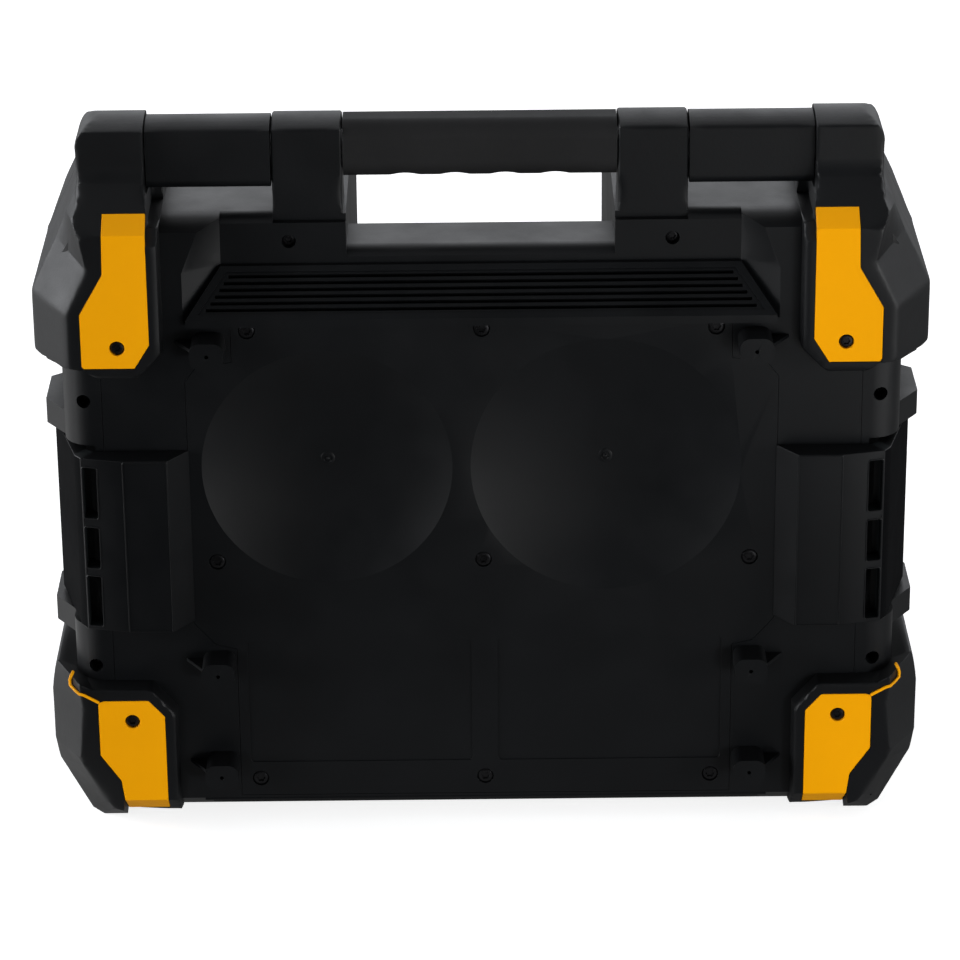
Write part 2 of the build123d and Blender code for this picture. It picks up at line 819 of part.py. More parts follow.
# ---------------------------------------------------------------- corner guards
corner_run = 24.0  # the guard's outer corner tapers over this depth
guard_split_gap = 1.0
upper_bend_z = deck_z - 0.5
lower_bend_z = 20.0
upper_fold = guard_top_z - upper_bend_z
lower_fold = lower_bend_z - ground_clearance
plate_thickness = 2.5
plate_gap = 0.25
plate_fold = 8.5
plate_inset = 6.0
guard_screw_radius = 3.4
guard_screw_head = 1.8
upper_screw = (edge_x - 42.8, deck_z - 58.5)
lower_screw = (edge_x - 42.0, 64.5)
rear_guard_y = rear_y + guard_thickness
front_guard_y = front_y - guard_thickness
flange_rise = 1.0  # the inner border of an upper guard stands this far over the flat top
flange_fold = 7.5
flange_front_y = handle_y - 8.0
crest_back_y = -14.0  # the upper front guards fall away in front of this
crest_drop = 8.5
brow_rise = 8.0
cove_radius = 14.0  # hollow between an end cap and its guard's fold
shoulder_cove = 5.3  # hollow between an end cap and its guard's shoulder

upper_face = [
    (guard_inner_x, guard_top_z),
    (guard_inner_x, guard_low_z + 12),
    (guard_inner_x + 12.5, guard_low_z),
    (guard_inner_x + 32.5, guard_low_z),
    (edge_x - 27, guard_low_z + 5),
    (edge_x - 18.5, guard_low_z + 5.5),
    (edge_x - 18.5, deck_z - 41),
    (edge_x - 29.5, deck_z - 18),
    (edge_x - 24.5, deck_z + 6),
    (edge_x - 30.5, guard_top_z),
]
upper_body = [
    (guard_inner_x, guard_top_z),
    (guard_inner_x, guard_low_z + 12),
    (guard_inner_x + 12.5, guard_low_z),
    (guard_inner_x + 34.5, guard_low_z),
    (edge_x - 23, guard_low_z + 5.5),
    (edge_x, guard_low_z + 6),
    (edge_x, deck_z - 36),
    (edge_x - 13.5, deck_z - 9),
    (edge_x - 19, deck_z + 4.5),
    (edge_x - 23, guard_top_z),
]
upper_front_corner = upper_body[:6] + [
    (edge_x, deck_z - 43),
    (edge_x - 13.5, deck_z - 16),
    (edge_x - 19, deck_z - 2.5),
    (edge_x - 27, guard_top_z),
]
lower_face = [
    (guard_inner_x, lower_bend_z - 8),
    (guard_inner_x, lower_guard_top_z - 14),
    (guard_inner_x + 12.5, lower_guard_top_z),
    (edge_x - 23, lower_guard_top_z),
    (edge_x - 16, lower_guard_top_z + 4),
    (edge_x - 17.5, lower_guard_top_z - 10),
    (edge_x - 15, 44),
    (edge_x - 16.5, 40),
    (edge_x - 28, lower_bend_z),
    (edge_x - 31, 15.5),
    (edge_x - 35.5, 14),
    (edge_x - 36, 16),
]
lower_body = [
    (guard_inner_x, ground_clearance),
    (guard_inner_x, lower_guard_top_z - 14),
    (guard_inner_x + 12.5, lower_guard_top_z),
    (edge_x - 16, lower_guard_top_z + 1),
    (edge_x - 2.5, lower_guard_top_z + 7),
    (edge_x, lower_guard_top_z - 8),
    (edge_x, 44),
    (edge_x - 2, 33),
    (edge_x - 17.5, 4),
    (edge_x - 23, 0),
    (edge_x - 35.5, 0),
    (edge_x - 36, ground_clearance),
]
plate_inner_x = guard_inner_x + plate_inset
upper_plate_foot = [
    (plate_inner_x, guard_low_z + 18),
    (plate_inner_x + 7.5, guard_low_z + plate_inset),
    (edge_x - 25.2, guard_low_z + plate_inset),
    (edge_x - 25.2, deck_z - 41),
]
rear_upper_plate = [(plate_inner_x, guard_top_z + 7)] + upper_plate_foot
rear_upper_plate += [(edge_x - 37, deck_z - 20.5), (edge_x - 38, guard_top_z + 7)]
front_upper_plate = [(plate_inner_x, brow_z - 1)] + upper_plate_foot
front_upper_plate += [(edge_x - 32.5, brow_z - 1)]
lower_plate = [
    (plate_inner_x, 0),
    (plate_inner_x, lower_guard_top_z - 15),
    (plate_inner_x + 8, lower_guard_top_z - plate_inset),
    (edge_x - 25, lower_guard_top_z - plate_inset),
    (edge_x - 25, 45.5),
    (edge_x - 35, 31),
    (edge_x - 39, 0),
]


def guard_block(face, corner, body, outer_y, inward):
    """Guard that widens from its face to its corner and runs on to its body in the middle.

    inward is -1 for a rear guard, whose face looks back, and +1 for a front one.
    """
    stations = (
        (outer_y, face),
        (outer_y + inward * corner_run, corner),
        (-inward * guard_split_gap / 2, body),
    )
    with BuildPart() as block:
        for pair in zip(stations, stations[1:]):
            for station_y, outline in pair:
                with BuildSketch(upright(station_y)):
                    with BuildLine():
                        Polyline(*outline, close=True)
                    make_face()
            loft(ruled=True)
    return block.part


def skin_profile(outer_y, inward, skin, bend_z, turn):
    """Section of a cover plate; turn is +1 if it folds over the top, -1 for the bottom, 0 flat."""
    inner_y = outer_y + inward * skin
    far_z = (lower_guard_top_z + guard_low_z) / 2
    if turn == 0:
        end_z = height
        return [(outer_y, far_z), (outer_y, end_z), (inner_y, end_z), (inner_y, far_z)]
    fold_y = outer_y + inward * plate_fold
    fold_z = bend_z + turn * plate_fold
    return [
        (outer_y, far_z),
        (outer_y, bend_z),
        (fold_y, fold_z),
        (fold_y + inward * skin * 0.7071, fold_z - turn * skin * 0.7071),
        (inner_y, bend_z - turn * skin * 0.4142),
        (inner_y, far_z),
    ]


def cover_plate(outline, outer_y, inward, bend_z, turn, clearance):
    """Coloured plate over a guard, or with a clearance the pocket it sits in."""
    section = skin_profile(outer_y, inward, plate_thickness + clearance / 5, bend_z, turn)
    with BuildPart() as plate:
        with BuildSketch(upright(outer_y)):
            with BuildLine():
                Polyline(*outline, close=True)
            make_face()
            if clearance:
                offset(amount=clearance, kind=Kind.INTERSECTION)
        extrude(amount=-inward * 3 * plate_fold)
        with BuildSketch(side_section(guard_inner_x)):
            with BuildLine():
                Polyline(*section, close=True)
            make_face()
        extrude(amount=guard_width, mode=Mode.INTERSECT)
    return plate.part


def fold_cut(outer_y, inward, bend_z, turn, run, far_x):
    """Wedge that turns a guard's end away from its face at 45 degrees."""
    with BuildPart() as wedge:
        with BuildSketch(side_section(guard_inner_x - 1)):
            with BuildLine():
                Polyline(
                    (outer_y - inward, bend_z - turn),
                    (outer_y - inward, bend_z + turn * (run + 1)),
                    (outer_y + inward * (run + 1), bend_z + turn * (run + 1)),
                    close=True,
                )
            make_face()
        extrude(amount=far_x - guard_inner_x + 1)
    return wedge.part


def flange_cut():
    """Room over the low inner border of an upper rear guard."""
    flange_z = deck_z + flange_rise
    with BuildPart() as cut:
        with BuildSketch(side_section(guard_inner_x - 1)):
            with BuildLine():
                Polyline(
                    (rear_guard_y + 1, flange_z - flange_fold - 1),
                    (rear_guard_y - flange_fold, flange_z),
                    (flange_front_y, flange_z),
                    (flange_front_y, height),
                    (rear_guard_y + 1, height),
                    close=True,
                )
            make_face()
        extrude(amount=plate_inset + 1 - plate_gap)
    return cut.part


def brow_cut():
    """Slopes the top of an upper front guard down to the front."""
    with BuildPart() as cut:
        with BuildSketch(side_section(guard_inner_x - 1)):
            with BuildLine():
                Polyline(
                    (crest_back_y, guard_top_z),
                    (deck_front_y, guard_top_z - crest_drop),
                    (front_y, brow_z + brow_rise),
                    (front_guard_y - 1, brow_z + brow_rise - guard_thickness),
                    (front_guard_y - 1, guard_top_z + 1),
                    (crest_back_y, guard_top_z + 1),
                    close=True,
                )
            make_face()
        extrude(amount=guard_width + 2)
    return cut.part


def handle_block(low_x, high_x, centre_y, deep, low_z, top_z, low_radius, front_radius):
    """A length of the handle: upright back, crowned top and rounded front."""
    back_y = centre_y + deep / 2
    face_y = centre_y - deep / 2
    shoulder_z = top_z - handle_crown
    with BuildPart() as block:
        with BuildSketch(side_section(low_x)):
            with BuildLine():
                Polyline((back_y, shoulder_z), (back_y, low_z), (face_y, low_z), (face_y, shoulder_z))
                ThreePointArc((face_y, shoulder_z), (centre_y, top_z), (back_y, shoulder_z))
            make_face()
        extrude(amount=high_x - low_x)
        long_edges = block.edges().filter_by(Axis.X)
        fillet(long_edges.group_by(Axis.Z)[-1].sort_by(Axis.Y)[0], front_radius)
        if low_radius:
            long_edges = block.edges().filter_by(Axis.X)
            fillet(long_edges.group_by(Axis.Z)[0], low_radius)
    return block


def end_cap():
    """Cap over the handle's end, hollowed out towards the guard behind and beside it."""
    cap_back_y = cap_y + cap_depth / 2
    fold_y = rear_guard_y - upper_fold
    corner_z = guard_top_z + fold_y - cap_back_y
    reach = cove_radius * tan(radians(22.5))
    slope = sin(radians(45))
    with BuildPart() as cap:
        add(
            handle_block(
                cap_inner_x, cap_outer_x, cap_y, cap_depth, deck_z, height, 0, handle_front_radius
            ).part
        )
        with BuildSketch(upright(cap_back_y)):
            with BuildLine():
                Polyline(
                    (cap_outer_x, height - cap_corner_radius),
                    (cap_outer_x, deck_z),
                    (cap_inner_x, deck_z),
                    (cap_inner_x, height),
                    (cap_outer_x - cap_corner_radius, height),
                )
                JernArc(
                    (cap_outer_x - cap_corner_radius, height), (1, 0), cap_corner_radius, -90
                )
            make_face()
        extrude(amount=cap_depth, mode=Mode.INTERSECT)
        # hollow down to the fold behind the cap
        with BuildSketch(side_section(cap_inner_x)):
            with BuildLine():
                TangentArc(
                    (cap_back_y, corner_z + reach),
                    (cap_back_y + reach * slope, corner_z - reach * slope),
                    tangent=(0, -1),
                )
                Polyline(
                    (cap_back_y + reach * slope, corner_z - reach * slope),
                    (fold_y, guard_top_z),
                    (fold_y, deck_z),
                    (cap_back_y - 1, deck_z),
                    (cap_back_y - 1, corner_z + reach),
                    (cap_back_y, corner_z + reach),
                )
            make_face()
        extrude(amount=cap_width)
        # hollow down to the shoulder beside it
        with BuildSketch(upright(cap_back_y)):
            with BuildLine():
                TangentArc(
                    (cap_outer_x, guard_top_z + shoulder_cove),
                    (cap_outer_x + shoulder_cove * 0.66, guard_top_z - shoulder_cove * 0.75),
                    tangent=(0, -1),
                )
                Polyline(
                    (cap_outer_x + shoulder_cove * 0.66, guard_top_z - shoulder_cove * 0.75),
                    (cap_outer_x - 1, guard_top_z - shoulder_cove * 0.75),
                    (cap_outer_x - 1, guard_top_z + shoulder_cove),
                    (cap_outer_x, guard_top_z + shoulder_cove),
                )
            make_face()
        extrude(amount=cap_depth)
        with BuildSketch(side_section(cap_inner_x)):
            with Locations((handle_y, handle_z)):
                Circle(handle_core_radius)
        extrude(amount=handle_core_seat, mode=Mode.SUBTRACT)
    return cap.part


def guard_and_plate(end, level):
    """The right-hand guard of one corner and its cover plate."""
    outer_y = rear_guard_y if end == "rear" else front_guard_y
    inward = -1 if end == "rear" else 1
    if level == "upper":
        corner = upper_body if end == "rear" else upper_front_corner
        block = guard_block(upper_face, corner, upper_body, outer_y, inward)
        outline = rear_upper_plate if end == "rear" else front_upper_plate
        bend_z, turn, run, far_x = upper_bend_z, 1, upper_fold, edge_x + 1
        plate_turn = 1 if end == "rear" else 0
        screw = upper_screw
    else:
        block = guard_block(lower_face, lower_body, lower_body, outer_y, inward)
        outline = lower_plate
        bend_z, turn, run, far_x = lower_bend_z, -1, lower_fold, edge_x - 36
        plate_turn = -1
        screw = lower_screw
    with BuildPart() as guard:
        add(block)
        add(fold_cut(outer_y, inward, bend_z, turn, run, far_x), mode=Mode.SUBTRACT)
        if level == "upper" and end == "front":
            add(brow_cut(), mode=Mode.SUBTRACT)
        if level == "upper" and end == "rear":
            add(flange_cut(), mode=Mode.SUBTRACT)
            add(end_cap())
        add(housing_envelope.part, mode=Mode.SUBTRACT)
        add(
            cover_plate(outline, outer_y, inward, bend_z, plate_turn, plate_gap),
            mode=Mode.SUBTRACT,
        )
        with BuildSketch(upright(outer_y)):
            with Locations(screw):
                Circle(screw_shank_radius + screw_play)
        extrude(amount=-inward * guard_thickness, mode=Mode.SUBTRACT)
    with BuildPart() as cover:
        add(cover_plate(outline, outer_y, inward, bend_z, plate_turn, 0))
        with BuildSketch(upright(outer_y)):
            with Locations(screw):
                Circle(guard_screw_radius + fit_gap)
        extrude(amount=-inward * plate_thickness, mode=Mode.SUBTRACT)
    return guard, cover


for end in ("rear", "front"):
    for level in ("upper", "lower"):
        corner_guard, corner_plate = guard_and_plate(end, level)
        finish(corner_guard, f"{end}_{level}_guard_right")
        finish(corner_plate, f"{end}_{level}_plate_right")
        finish(mirrored(corner_guard, Plane.YZ), f"{end}_{level}_guard_left")
        finish(mirrored(corner_plate, Plane.YZ), f"{end}_{level}_plate_left")

guard_screw_spots = [(side * x, z) for x, z in (upper_screw, lower_screw) for side in (1, -1)]
with BuildPart() as guard_screw_set:
    for outer_y, inward in ((rear_guard_y, -1), (front_guard_y, 1)):
        seat_y = outer_y + inward * (plate_thickness + plate_gap / 5)
        with BuildSketch(upright(seat_y)):
            with Locations(guard_screw_spots):
                Circle(guard_screw_radius)
        extrude(amount=inward * guard_screw_head)
        with BuildSketch(upright(seat_y)):
            with Locations(guard_screw_spots):
                Circle(screw_shank_radius)
        extrude(amount=-inward * (guard_thickness - plate_thickness - 1))
finish(guard_screw_set, "guard_screws")

# ---------------------------------------------------------------- handle
with BuildPart() as handle_core:
    with BuildSketch(side_section(-cap_inner_x - handle_core_seat)):
        with Locations((handle_y, handle_z)):
            Circle(handle_core_radius - 0.02)
            Circle(handle_core_radius - handle_tube_wall, mode=Mode.SUBTRACT)
    extrude(amount=2 * (cap_inner_x + handle_core_seat))
finish(handle_core, "handle_core")

with BuildPart() as core_bore:
    with BuildSketch(side_section(-edge_x)):
        with Locations((handle_y, handle_z)):
            Circle(handle_core_radius)
    extrude(amount=width)

with BuildPart() as handle_sleeve:
    sleeve_low_x = post_outer_x + handle_joint_gap
    sleeve_high_x = cap_inner_x - handle_joint_gap
    sleeve_low_z = handle_top_z - handle_height
    add(
        handle_block(
            sleeve_low_x,
            sleeve_high_x,
            handle_y,
            handle_depth,
            sleeve_low_z,
            handle_top_z,
            handle_low_radius,
            handle_front_radius,
        ).part
    )
    add(core_bore.part, mode=Mode.SUBTRACT)
finish(handle_sleeve, "handle_sleeve_right")
finish(mirrored(handle_sleeve, Plane.YZ), "handle_sleeve_left")

grip_half_length = post_inner_x - handle_joint_gap
scallop_radius = 15.5
scallop_depth = 2.5
scallop_pitch = 24.3
with BuildPart() as handle_grip:
    with BuildSketch(side_section(-grip_half_length)):
        with Locations((handle_y, handle_top_z - grip_height / 2)):
            RectangleRounded(grip_depth, grip_height, grip_radius)
    extrude(amount=2 * grip_half_length)
    with BuildSketch(upright(handle_y + grip_depth)):
        scallop_z = handle_top_z - grip_height - scallop_radius + scallop_depth
        with Locations((0, scallop_z)):
            with GridLocations(scallop_pitch, 1, 4, 1):
                Circle(scallop_radius)
    extrude(amount=2 * grip_depth, mode=Mode.SUBTRACT)
    add(core_bore.part, mode=Mode.SUBTRACT)
finish(handle_grip, "handle_grip")

with BuildPart() as handle_post:
    add(
        handle_block(
            post_inner_x,
            post_outer_x,
            post_y,
            post_depth,
            deck_z,
            handle_top_z,
            0,
            handle_front_radius,
        ).part
    )
    chamfer(handle_post.edges().filter_by(Axis.Z), 0.8)
    add(core_bore.part, mode=Mode.SUBTRACT)
finish(handle_post, "handle_post_right")
finish(mirrored(handle_post, Plane.YZ), "handle_post_left")

# ---------------------------------------------------------------- side latches
pad_inner_x = side_x - 62.0
pad_thickness = 14.0
pad_y = rear_y + fit_gap
latch_length = latch_high_z - latch_low_z
latch_windows = ((2.3, 29.3), (33.8, 55.8), (60.8, 87.8))
with BuildPart() as latch:
    with BuildSketch(Plane.XY.offset(latch_low_z)):
        with BuildLine():
            Polyline(
                (pad_inner_x, pad_y),
                (pad_inner_x + 10, rear_y + pad_thickness),
                (side_x - 30, rear_y + pad_thickness),
                (side_x - 9, rear_y + 9),
                (side_x - 5.5, rear_y + 4),
                (latch_axis_x + latch_knuckle_radius - 0.4, latch_axis_y + 2),
                (latch_axis_x - latch_knuckle_radius + 0.4, latch_axis_y - 2),
                (side_x - 11, rear_y - 4),
                (side_x - 14.5, pad_y),
                close=True,
            )
        make_face()
        with Locations((latch_axis_x, latch_axis_y)):
            Circle(latch_knuckle_radius)
            Circle(latch_pin_radius + pin_play, mode=Mode.SUBTRACT)
    extrude(amount=latch_length)
    # three windows along the outer strip
    for low, high in latch_windows:
        with Locations((side_x - 16.8, rear_y - 1, latch_low_z + low)):
            Box(
                7,
                2 * pad_thickness,
                high - low,
                align=(Align.MIN, Align.MIN, Align.MIN),
                mode=Mode.SUBTRACT,
            )
    # hollow underside of the pad
    with Locations((pad_inner_x + 12, rear_y, latch_low_z + wall)):
        Box(
            26,
            pad_thickness - 3.5,
            latch_length - 2 * wall,
            align=(Align.MIN, Align.MIN, Align.MIN),
            mode=Mode.SUBTRACT,
        )
finish(latch, "side_latch_right")
finish(mirrored(latch, Plane.YZ), "side_latch_left")

with BuildPart() as latch_pin:
    with Locations((latch_axis_x, latch_axis_y, latch_pin_foot_z)):
        Cylinder(
            latch_pin_radius,
            latch_pin_length,
            align=(Align.CENTER, Align.CENTER, Align.MIN),
        )
finish(latch_pin, "latch_pin_right")
finish(mirrored(latch_pin, Plane.YZ), "latch_pin_left")

# ---------------------------------------------------------------- speakers
inner_front_y = front_y + wall
grille_radius = woofer_flange_radius + 2.0
grille_thickness = 4.0
grille_slats = 9

with BuildPart() as grille:
    with BuildSketch(upright(front_y)):
        with Locations((woofer_x, woofer_z)):
            Circle(grille_radius)
    extrude(amount=grille_thickness)
    with BuildSketch(upright(front_y)):
        with Locations((woofer_x, woofer_z)):
            Circle(woofer_opening_radius - 2)
        slat_pitch = 2 * (woofer_opening_radius - 2) / grille_slats
        for index in range(grille_slats - 1):
            slat_z = woofer_z - woofer_opening_radius + 2 + (index + 1) * slat_pitch
            with Locations((woofer_x, slat_z)):
                Rectangle(2 * grille_radius, 4.0, mode=Mode.SUBTRACT)
        with Locations((woofer_x, woofer_z)):
            Rectangle(6, 2 * grille_radius, mode=Mode.SUBTRACT)
    extrude(amount=grille_thickness, mode=Mode.SUBTRACT)
finish(grille, "speaker_grille_right")
finish(mirrored(grille, Plane.YZ), "speaker_grille_left")

magnet_radius = 34.0
frame_outline = [
    (woofer_flange_radius, inner_front_y),
    (woofer_flange_radius, inner_front_y + 3),
    (woofer_flange_radius - 8, inner_front_y + 3),
    (magnet_radius, inner_front_y + 42),
    (magnet_radius, inner_front_y + 60),
    (0, inner_front_y + 60),
    (0, inner_front_y + 40),
    (magnet_radius - 6, inner_front_y + 40),
    (woofer_flange_radius - 9, inner_front_y + 1.5),
    (woofer_flange_radius - 6, inner_front_y + 1.5),
    (woofer_flange_radius - 6, inner_front_y),
]
cone_outline = [
    (0, inner_front_y + 15),
    (14, inner_front_y + 19),
    (woofer_flange_radius - 19, inner_front_y + 1.2),
    (woofer_flange_radius - 14, inner_front_y - 1.4),
    (woofer_flange_radius - 6.2, inner_front_y + 0.2),
    (woofer_flange_radius - 6.2, inner_front_y + 1.5),
    (woofer_flange_radius - 14, inner_front_y + 1.3),
    (16, inner_front_y + 21),
    (16, inner_front_y + 40),
    (0, inner_front_y + 40),
]
woofer_frame = turned(woofer_x, woofer_z, frame_outline)
finish(woofer_frame, "woofer_frame_right")
finish(mirrored(woofer_frame, Plane.YZ), "woofer_frame_left")
woofer_cone = turned(woofer_x, woofer_z, cone_outline)
finish(woofer_cone, "woofer_cone_right")
finish(mirrored(woofer_cone, Plane.YZ), "woofer_cone_left")

tweeter_outline = [
    (0, front_y + 1),
    (0, front_y + 22),
    (tweeter_radius - 3, front_y + 22),
    (tweeter_radius - 0.2, front_y + 10),
    (tweeter_radius - 0.2, front_y),
    (tweeter_radius + tweeter_flange, front_y),
    (tweeter_radius + tweeter_flange - 1, front_y - 2.5),
    (tweeter_radius - 2, front_y - 2.5),
    (9, front_y + 4),
    (5.5, front_y + 1.8),
]
tweeter = turned(tweeter_x, tweeter_z, tweeter_outline)
finish(tweeter, "tweeter_right")
finish(mirrored(tweeter, Plane.YZ), "tweeter_left")

# ---------------------------------------------------------------- control console
display_width = 84.0
display_length = 34.0
display_v = 48.0
knob_v = -16.0
knob_radius = 23.0
knob_height = 17.0
knob_scallops = 12
shaft_radius = 3.0
button_width = 20.0
button_length = 12.0
button_u = fascia_width / 2 - 18.0
button_vs = (12.0, -12.0, -36.0)
button_height = 2.2
board_drop = 9.0
board_thickness = 1.6
boss_u = fascia_width / 2 - 14.0
boss_spots = [(u, v) for u in (boss_u, -boss_u) for v in (62, -60)]
button_spots = [(side * button_u, v) for side in (-1, 1) for v in button_vs]

with BuildPart() as control_panel:
    with BuildSketch(console_plane):
        Rectangle(fascia_width - 2 * seam_gap, fascia_length - 2 * seam_gap)
    extrude(amount=-fascia_thickness)
    # seat and opening of the display window
    with BuildSketch(console_plane):
        with Locations((0, display_v)):
            RectangleRounded(display_width, display_length, 3)
    extrude(amount=-1.6, mode=Mode.SUBTRACT)
    with BuildSketch(console_plane):
        with Locations((0, display_v)):
            Rectangle(display_width - 8, display_length - 8)
        with Locations(button_spots):
            RectangleRounded(button_width + 2 * fit_gap, button_length + 2 * fit_gap, 2.3)
        with Locations((0, knob_v)):
            Circle(shaft_radius + 1)
    extrude(amount=-fascia_thickness, mode=Mode.SUBTRACT)
    with BuildSketch(console_plane.offset(-fascia_thickness)):
        with Locations(boss_spots):
            Circle(3)
    extrude(amount=-(board_drop - fascia_thickness))
finish(control_panel, "control_panel")

with BuildPart() as display_window:
    with BuildSketch(console_plane.offset(-1.6)):
        with Locations((0, display_v)):
            RectangleRounded(display_width - 0.2, display_length - 0.2, 2.9)
    extrude(amount=1.5)
finish(display_window, "display_window")

with BuildPart() as main_board:
    with BuildSketch(console_plane.offset(-board_drop)):
        Rectangle(fascia_width - 2 * fascia_opening_margin - 4, 134)
    extrude(amount=-board_thickness)
    with BuildSketch(console_plane.offset(-board_drop)):
        with Locations((0, display_v)):
            Rectangle(display_width - 10, display_length - 9)
    extrude(amount=board_drop - fascia_thickness - 0.3)
    with BuildSketch(console_plane.offset(-board_drop)):
        with Locations(button_spots):
            Rectangle(6, 6)
    extrude(amount=2.5)
    with BuildSketch(console_plane.offset(-board_drop)):
        with Locations((0, knob_v)):
            Rectangle(13, 13)
    extrude(amount=5)
finish(main_board, "main_board")

with BuildPart() as encoder_shaft:
    with BuildSketch(console_plane.offset(-board_drop + 5)):
        with Locations((0, knob_v)):
            Circle(shaft_radius)
    extrude(amount=board_drop - 5 + 12)
finish(encoder_shaft, "encoder_shaft")

with BuildPart() as volume_knob:
    with BuildSketch(console_plane.offset(fit_gap)):
        with Locations((0, knob_v)):
            Circle(knob_radius)
            with PolarLocations(knob_radius + 1.6, knob_scallops):
                Circle(2.6, mode=Mode.SUBTRACT)
    extrude(amount=knob_height)
    chamfer(volume_knob.faces().sort_by(console_axis)[-1].edges(), 1.2)
    with BuildSketch(console_plane.offset(fit_gap)):
        with Locations((0, knob_v)):
            Circle(shaft_radius + pin_play)
    extrude(amount=13, mode=Mode.SUBTRACT)
    with BuildSketch(console_plane.offset(fit_gap + knob_height)):
        with Locations((0, knob_v + 15)):
            Rectangle(1.6, 8)
    extrude(amount=-0.8, mode=Mode.SUBTRACT)
finish(volume_knob, "volume_knob")

for number, (u, v) in enumerate(button_spots, start=1):
    with BuildPart() as button:
        with BuildSketch(console_plane.offset(-fascia_thickness)):
            with Locations((u, v)):
                RectangleRounded(button_width, button_length, 2)
        extrude(amount=fascia_thickness + button_height)
        with BuildSketch(console_plane.offset(-fascia_thickness - fit_gap)):
            with Locations((u, v)):
                Rectangle(button_width + 3, button_length + 3)
        extrude(amount=-1.0)
        with BuildSketch(console_plane.offset(-fascia_thickness)):
            with Locations((u, v)):
                Rectangle(button_width - 4, button_length - 4)
        extrude(amount=-fit_gap)
    finish(button, f"button_{number}")

# ---------------------------------------------------------------- device bay
bay_mouth_y = inner_front_y
with BuildPart() as device_bay:
    with BuildSketch(upright(bay_mouth_y)):
        with Locations((0, bay_z)):
            RectangleRounded(2 * (bay_half_width + bay_flange), bay_height + 2 * bay_flange, 6)
    extrude(amount=-bay_wall)
    with BuildSketch(upright(bay_mouth_y)):
        with Locations((0, bay_z)):
            RectangleRounded(2 * bay_half_width, bay_height, 4)
    extrude(amount=-bay_depth)
    with BuildSketch(upright(bay_mouth_y)):
        with Locations((0, bay_z)):
            RectangleRounded(2 * (bay_half_width - bay_wall), bay_height - 2 * bay_wall, 3)
    extrude(amount=-(bay_depth - bay_wall), mode=Mode.SUBTRACT)
finish(device_bay, "device_bay")

dock_face_y = bay_mouth_y + bay_depth - bay_wall
dock_width = 2 * bay_half_width - 38.0
dock_height = bay_height - 58.0
rail_length = dock_height - 22.0
with BuildPart() as battery_dock:
    with BuildSketch(upright(dock_face_y)):
        with Locations((0, bay_z)):
            RectangleRounded(dock_width, dock_height, 3)
    extrude(amount=10)
    # two T rails that a slide-on battery grips
    for side in (1, -1):
        with Locations((side * 22, dock_face_y - 10, bay_z - 4)):
            Box(4, 6, rail_length, align=(Align.CENTER, Align.MAX, Align.CENTER))
        with Locations((side * 24.5, dock_face_y - 16, bay_z - 4)):
            Box(9, 3, rail_length, align=(Align.CENTER, Align.MAX, Align.CENTER))
    # terminal block with its blades
    with Locations((0, dock_face_y - 10, bay_z + 22)):
        Box(30, 9, 14, align=(Align.CENTER, Align.MAX, Align.CENTER))
    with Locations([(x, dock_face_y - 12, bay_z + 2) for x in (-12, -4, 4, 12)]):
        Box(0.8, 6, 28, align=(Align.CENTER, Align.MAX, Align.CENTER))
finish(battery_dock, "battery_dock")

with BuildPart() as charger_board:
    with Locations((0, bay_mouth_y + bay_depth + 2, bay_z)):
        Box(dock_width + 22, 1.6, dock_height + 26, align=(Align.CENTER, Align.MIN, Align.CENTER))
    with Locations((24, bay_mouth_y + bay_depth + 3.6, bay_z + 20)):
        Box(38, 26, 32, align=(Align.CENTER, Align.MIN, Align.CENTER))
    with Locations((-26, bay_mouth_y + bay_depth + 3.6, bay_z + 10)):
        Box(30, 20, 50, align=(Align.CENTER, Align.MIN, Align.CENTER))
    with BuildSketch(upright(bay_mouth_y + bay_depth)):
        with Locations([(x, bay_z + z) for x in (-42, 42) for z in (-48, 48)]):
            Circle(3)
    extrude(amount=-2)
finish(charger_board, "charger_board")

# ---------------------------------------------------------------- door
door_gap = 0.5
door_back_y = inner_front_y - door_gap
with BuildPart() as bay_door:
    with BuildSketch(upright(door_back_y)):
        with Locations((0, bay_z)):
            RectangleRounded(2 * (bay_half_width - door_gap), bay_height - 2 * door_gap, 3.6)
    extrude(amount=door_back_y - front_y + door_skin)
    # lip that laps over the face of the shell, grip ribs and a pull
    with BuildSketch(upright(front_y - fit_gap)):
        with Locations((0, bay_z + 1.5)):
            RectangleRounded(2 * bay_half_width + 6, bay_height + 1, 5)
    extrude(amount=door_skin - fit_gap)
    with BuildSketch(upright(front_y - door_skin)):
        with Locations((0, bay_low_z + 52)):
            with GridLocations(1, 18, 1, 3):
                RectangleRounded(2 * bay_half_width - 36, 8, 3)
    extrude(amount=-1.5, mode=Mode.SUBTRACT)
    with BuildSketch(upright(front_y - door_skin)):
        with Locations((0, bay_high_z - 12)):
            RectangleRounded(44, 10, 4)
    extrude(amount=4)
    # barrel of the hinge and the arm that joins it to the door
    with BuildSketch(side_section(-door_knuckle_x + 0.5)):
        with BuildLine():
            Polyline(
                (door_axis_y + 4.2, door_axis_z + 2),
                (front_y - 2 * fit_gap, door_axis_z + 6),
                (front_y - 2 * fit_gap, bay_low_z + 6),
                (front_y - door_skin, bay_low_z + 6),
                (door_axis_y - 4.9, door_axis_z + 1),
                close=True,
            )
        make_face()
        with Locations((door_axis_y, door_axis_z)):
            Circle(door_barrel_radius)
            Circle(door_pin_radius + pin_play, mode=Mode.SUBTRACT)
    extrude(amount=2 * door_knuckle_x - 1)
finish(bay_door, "bay_door")

with BuildPart() as door_pin:
    door_pin_reach = door_knuckle_x + door_knuckle_length - 3
    with BuildSketch(side_section(-door_pin_reach)):
        with Locations((door_axis_y, door_axis_z)):
            Circle(door_pin_radius)
    extrude(amount=2 * door_pin_reach)
finish(door_pin, "door_pin")

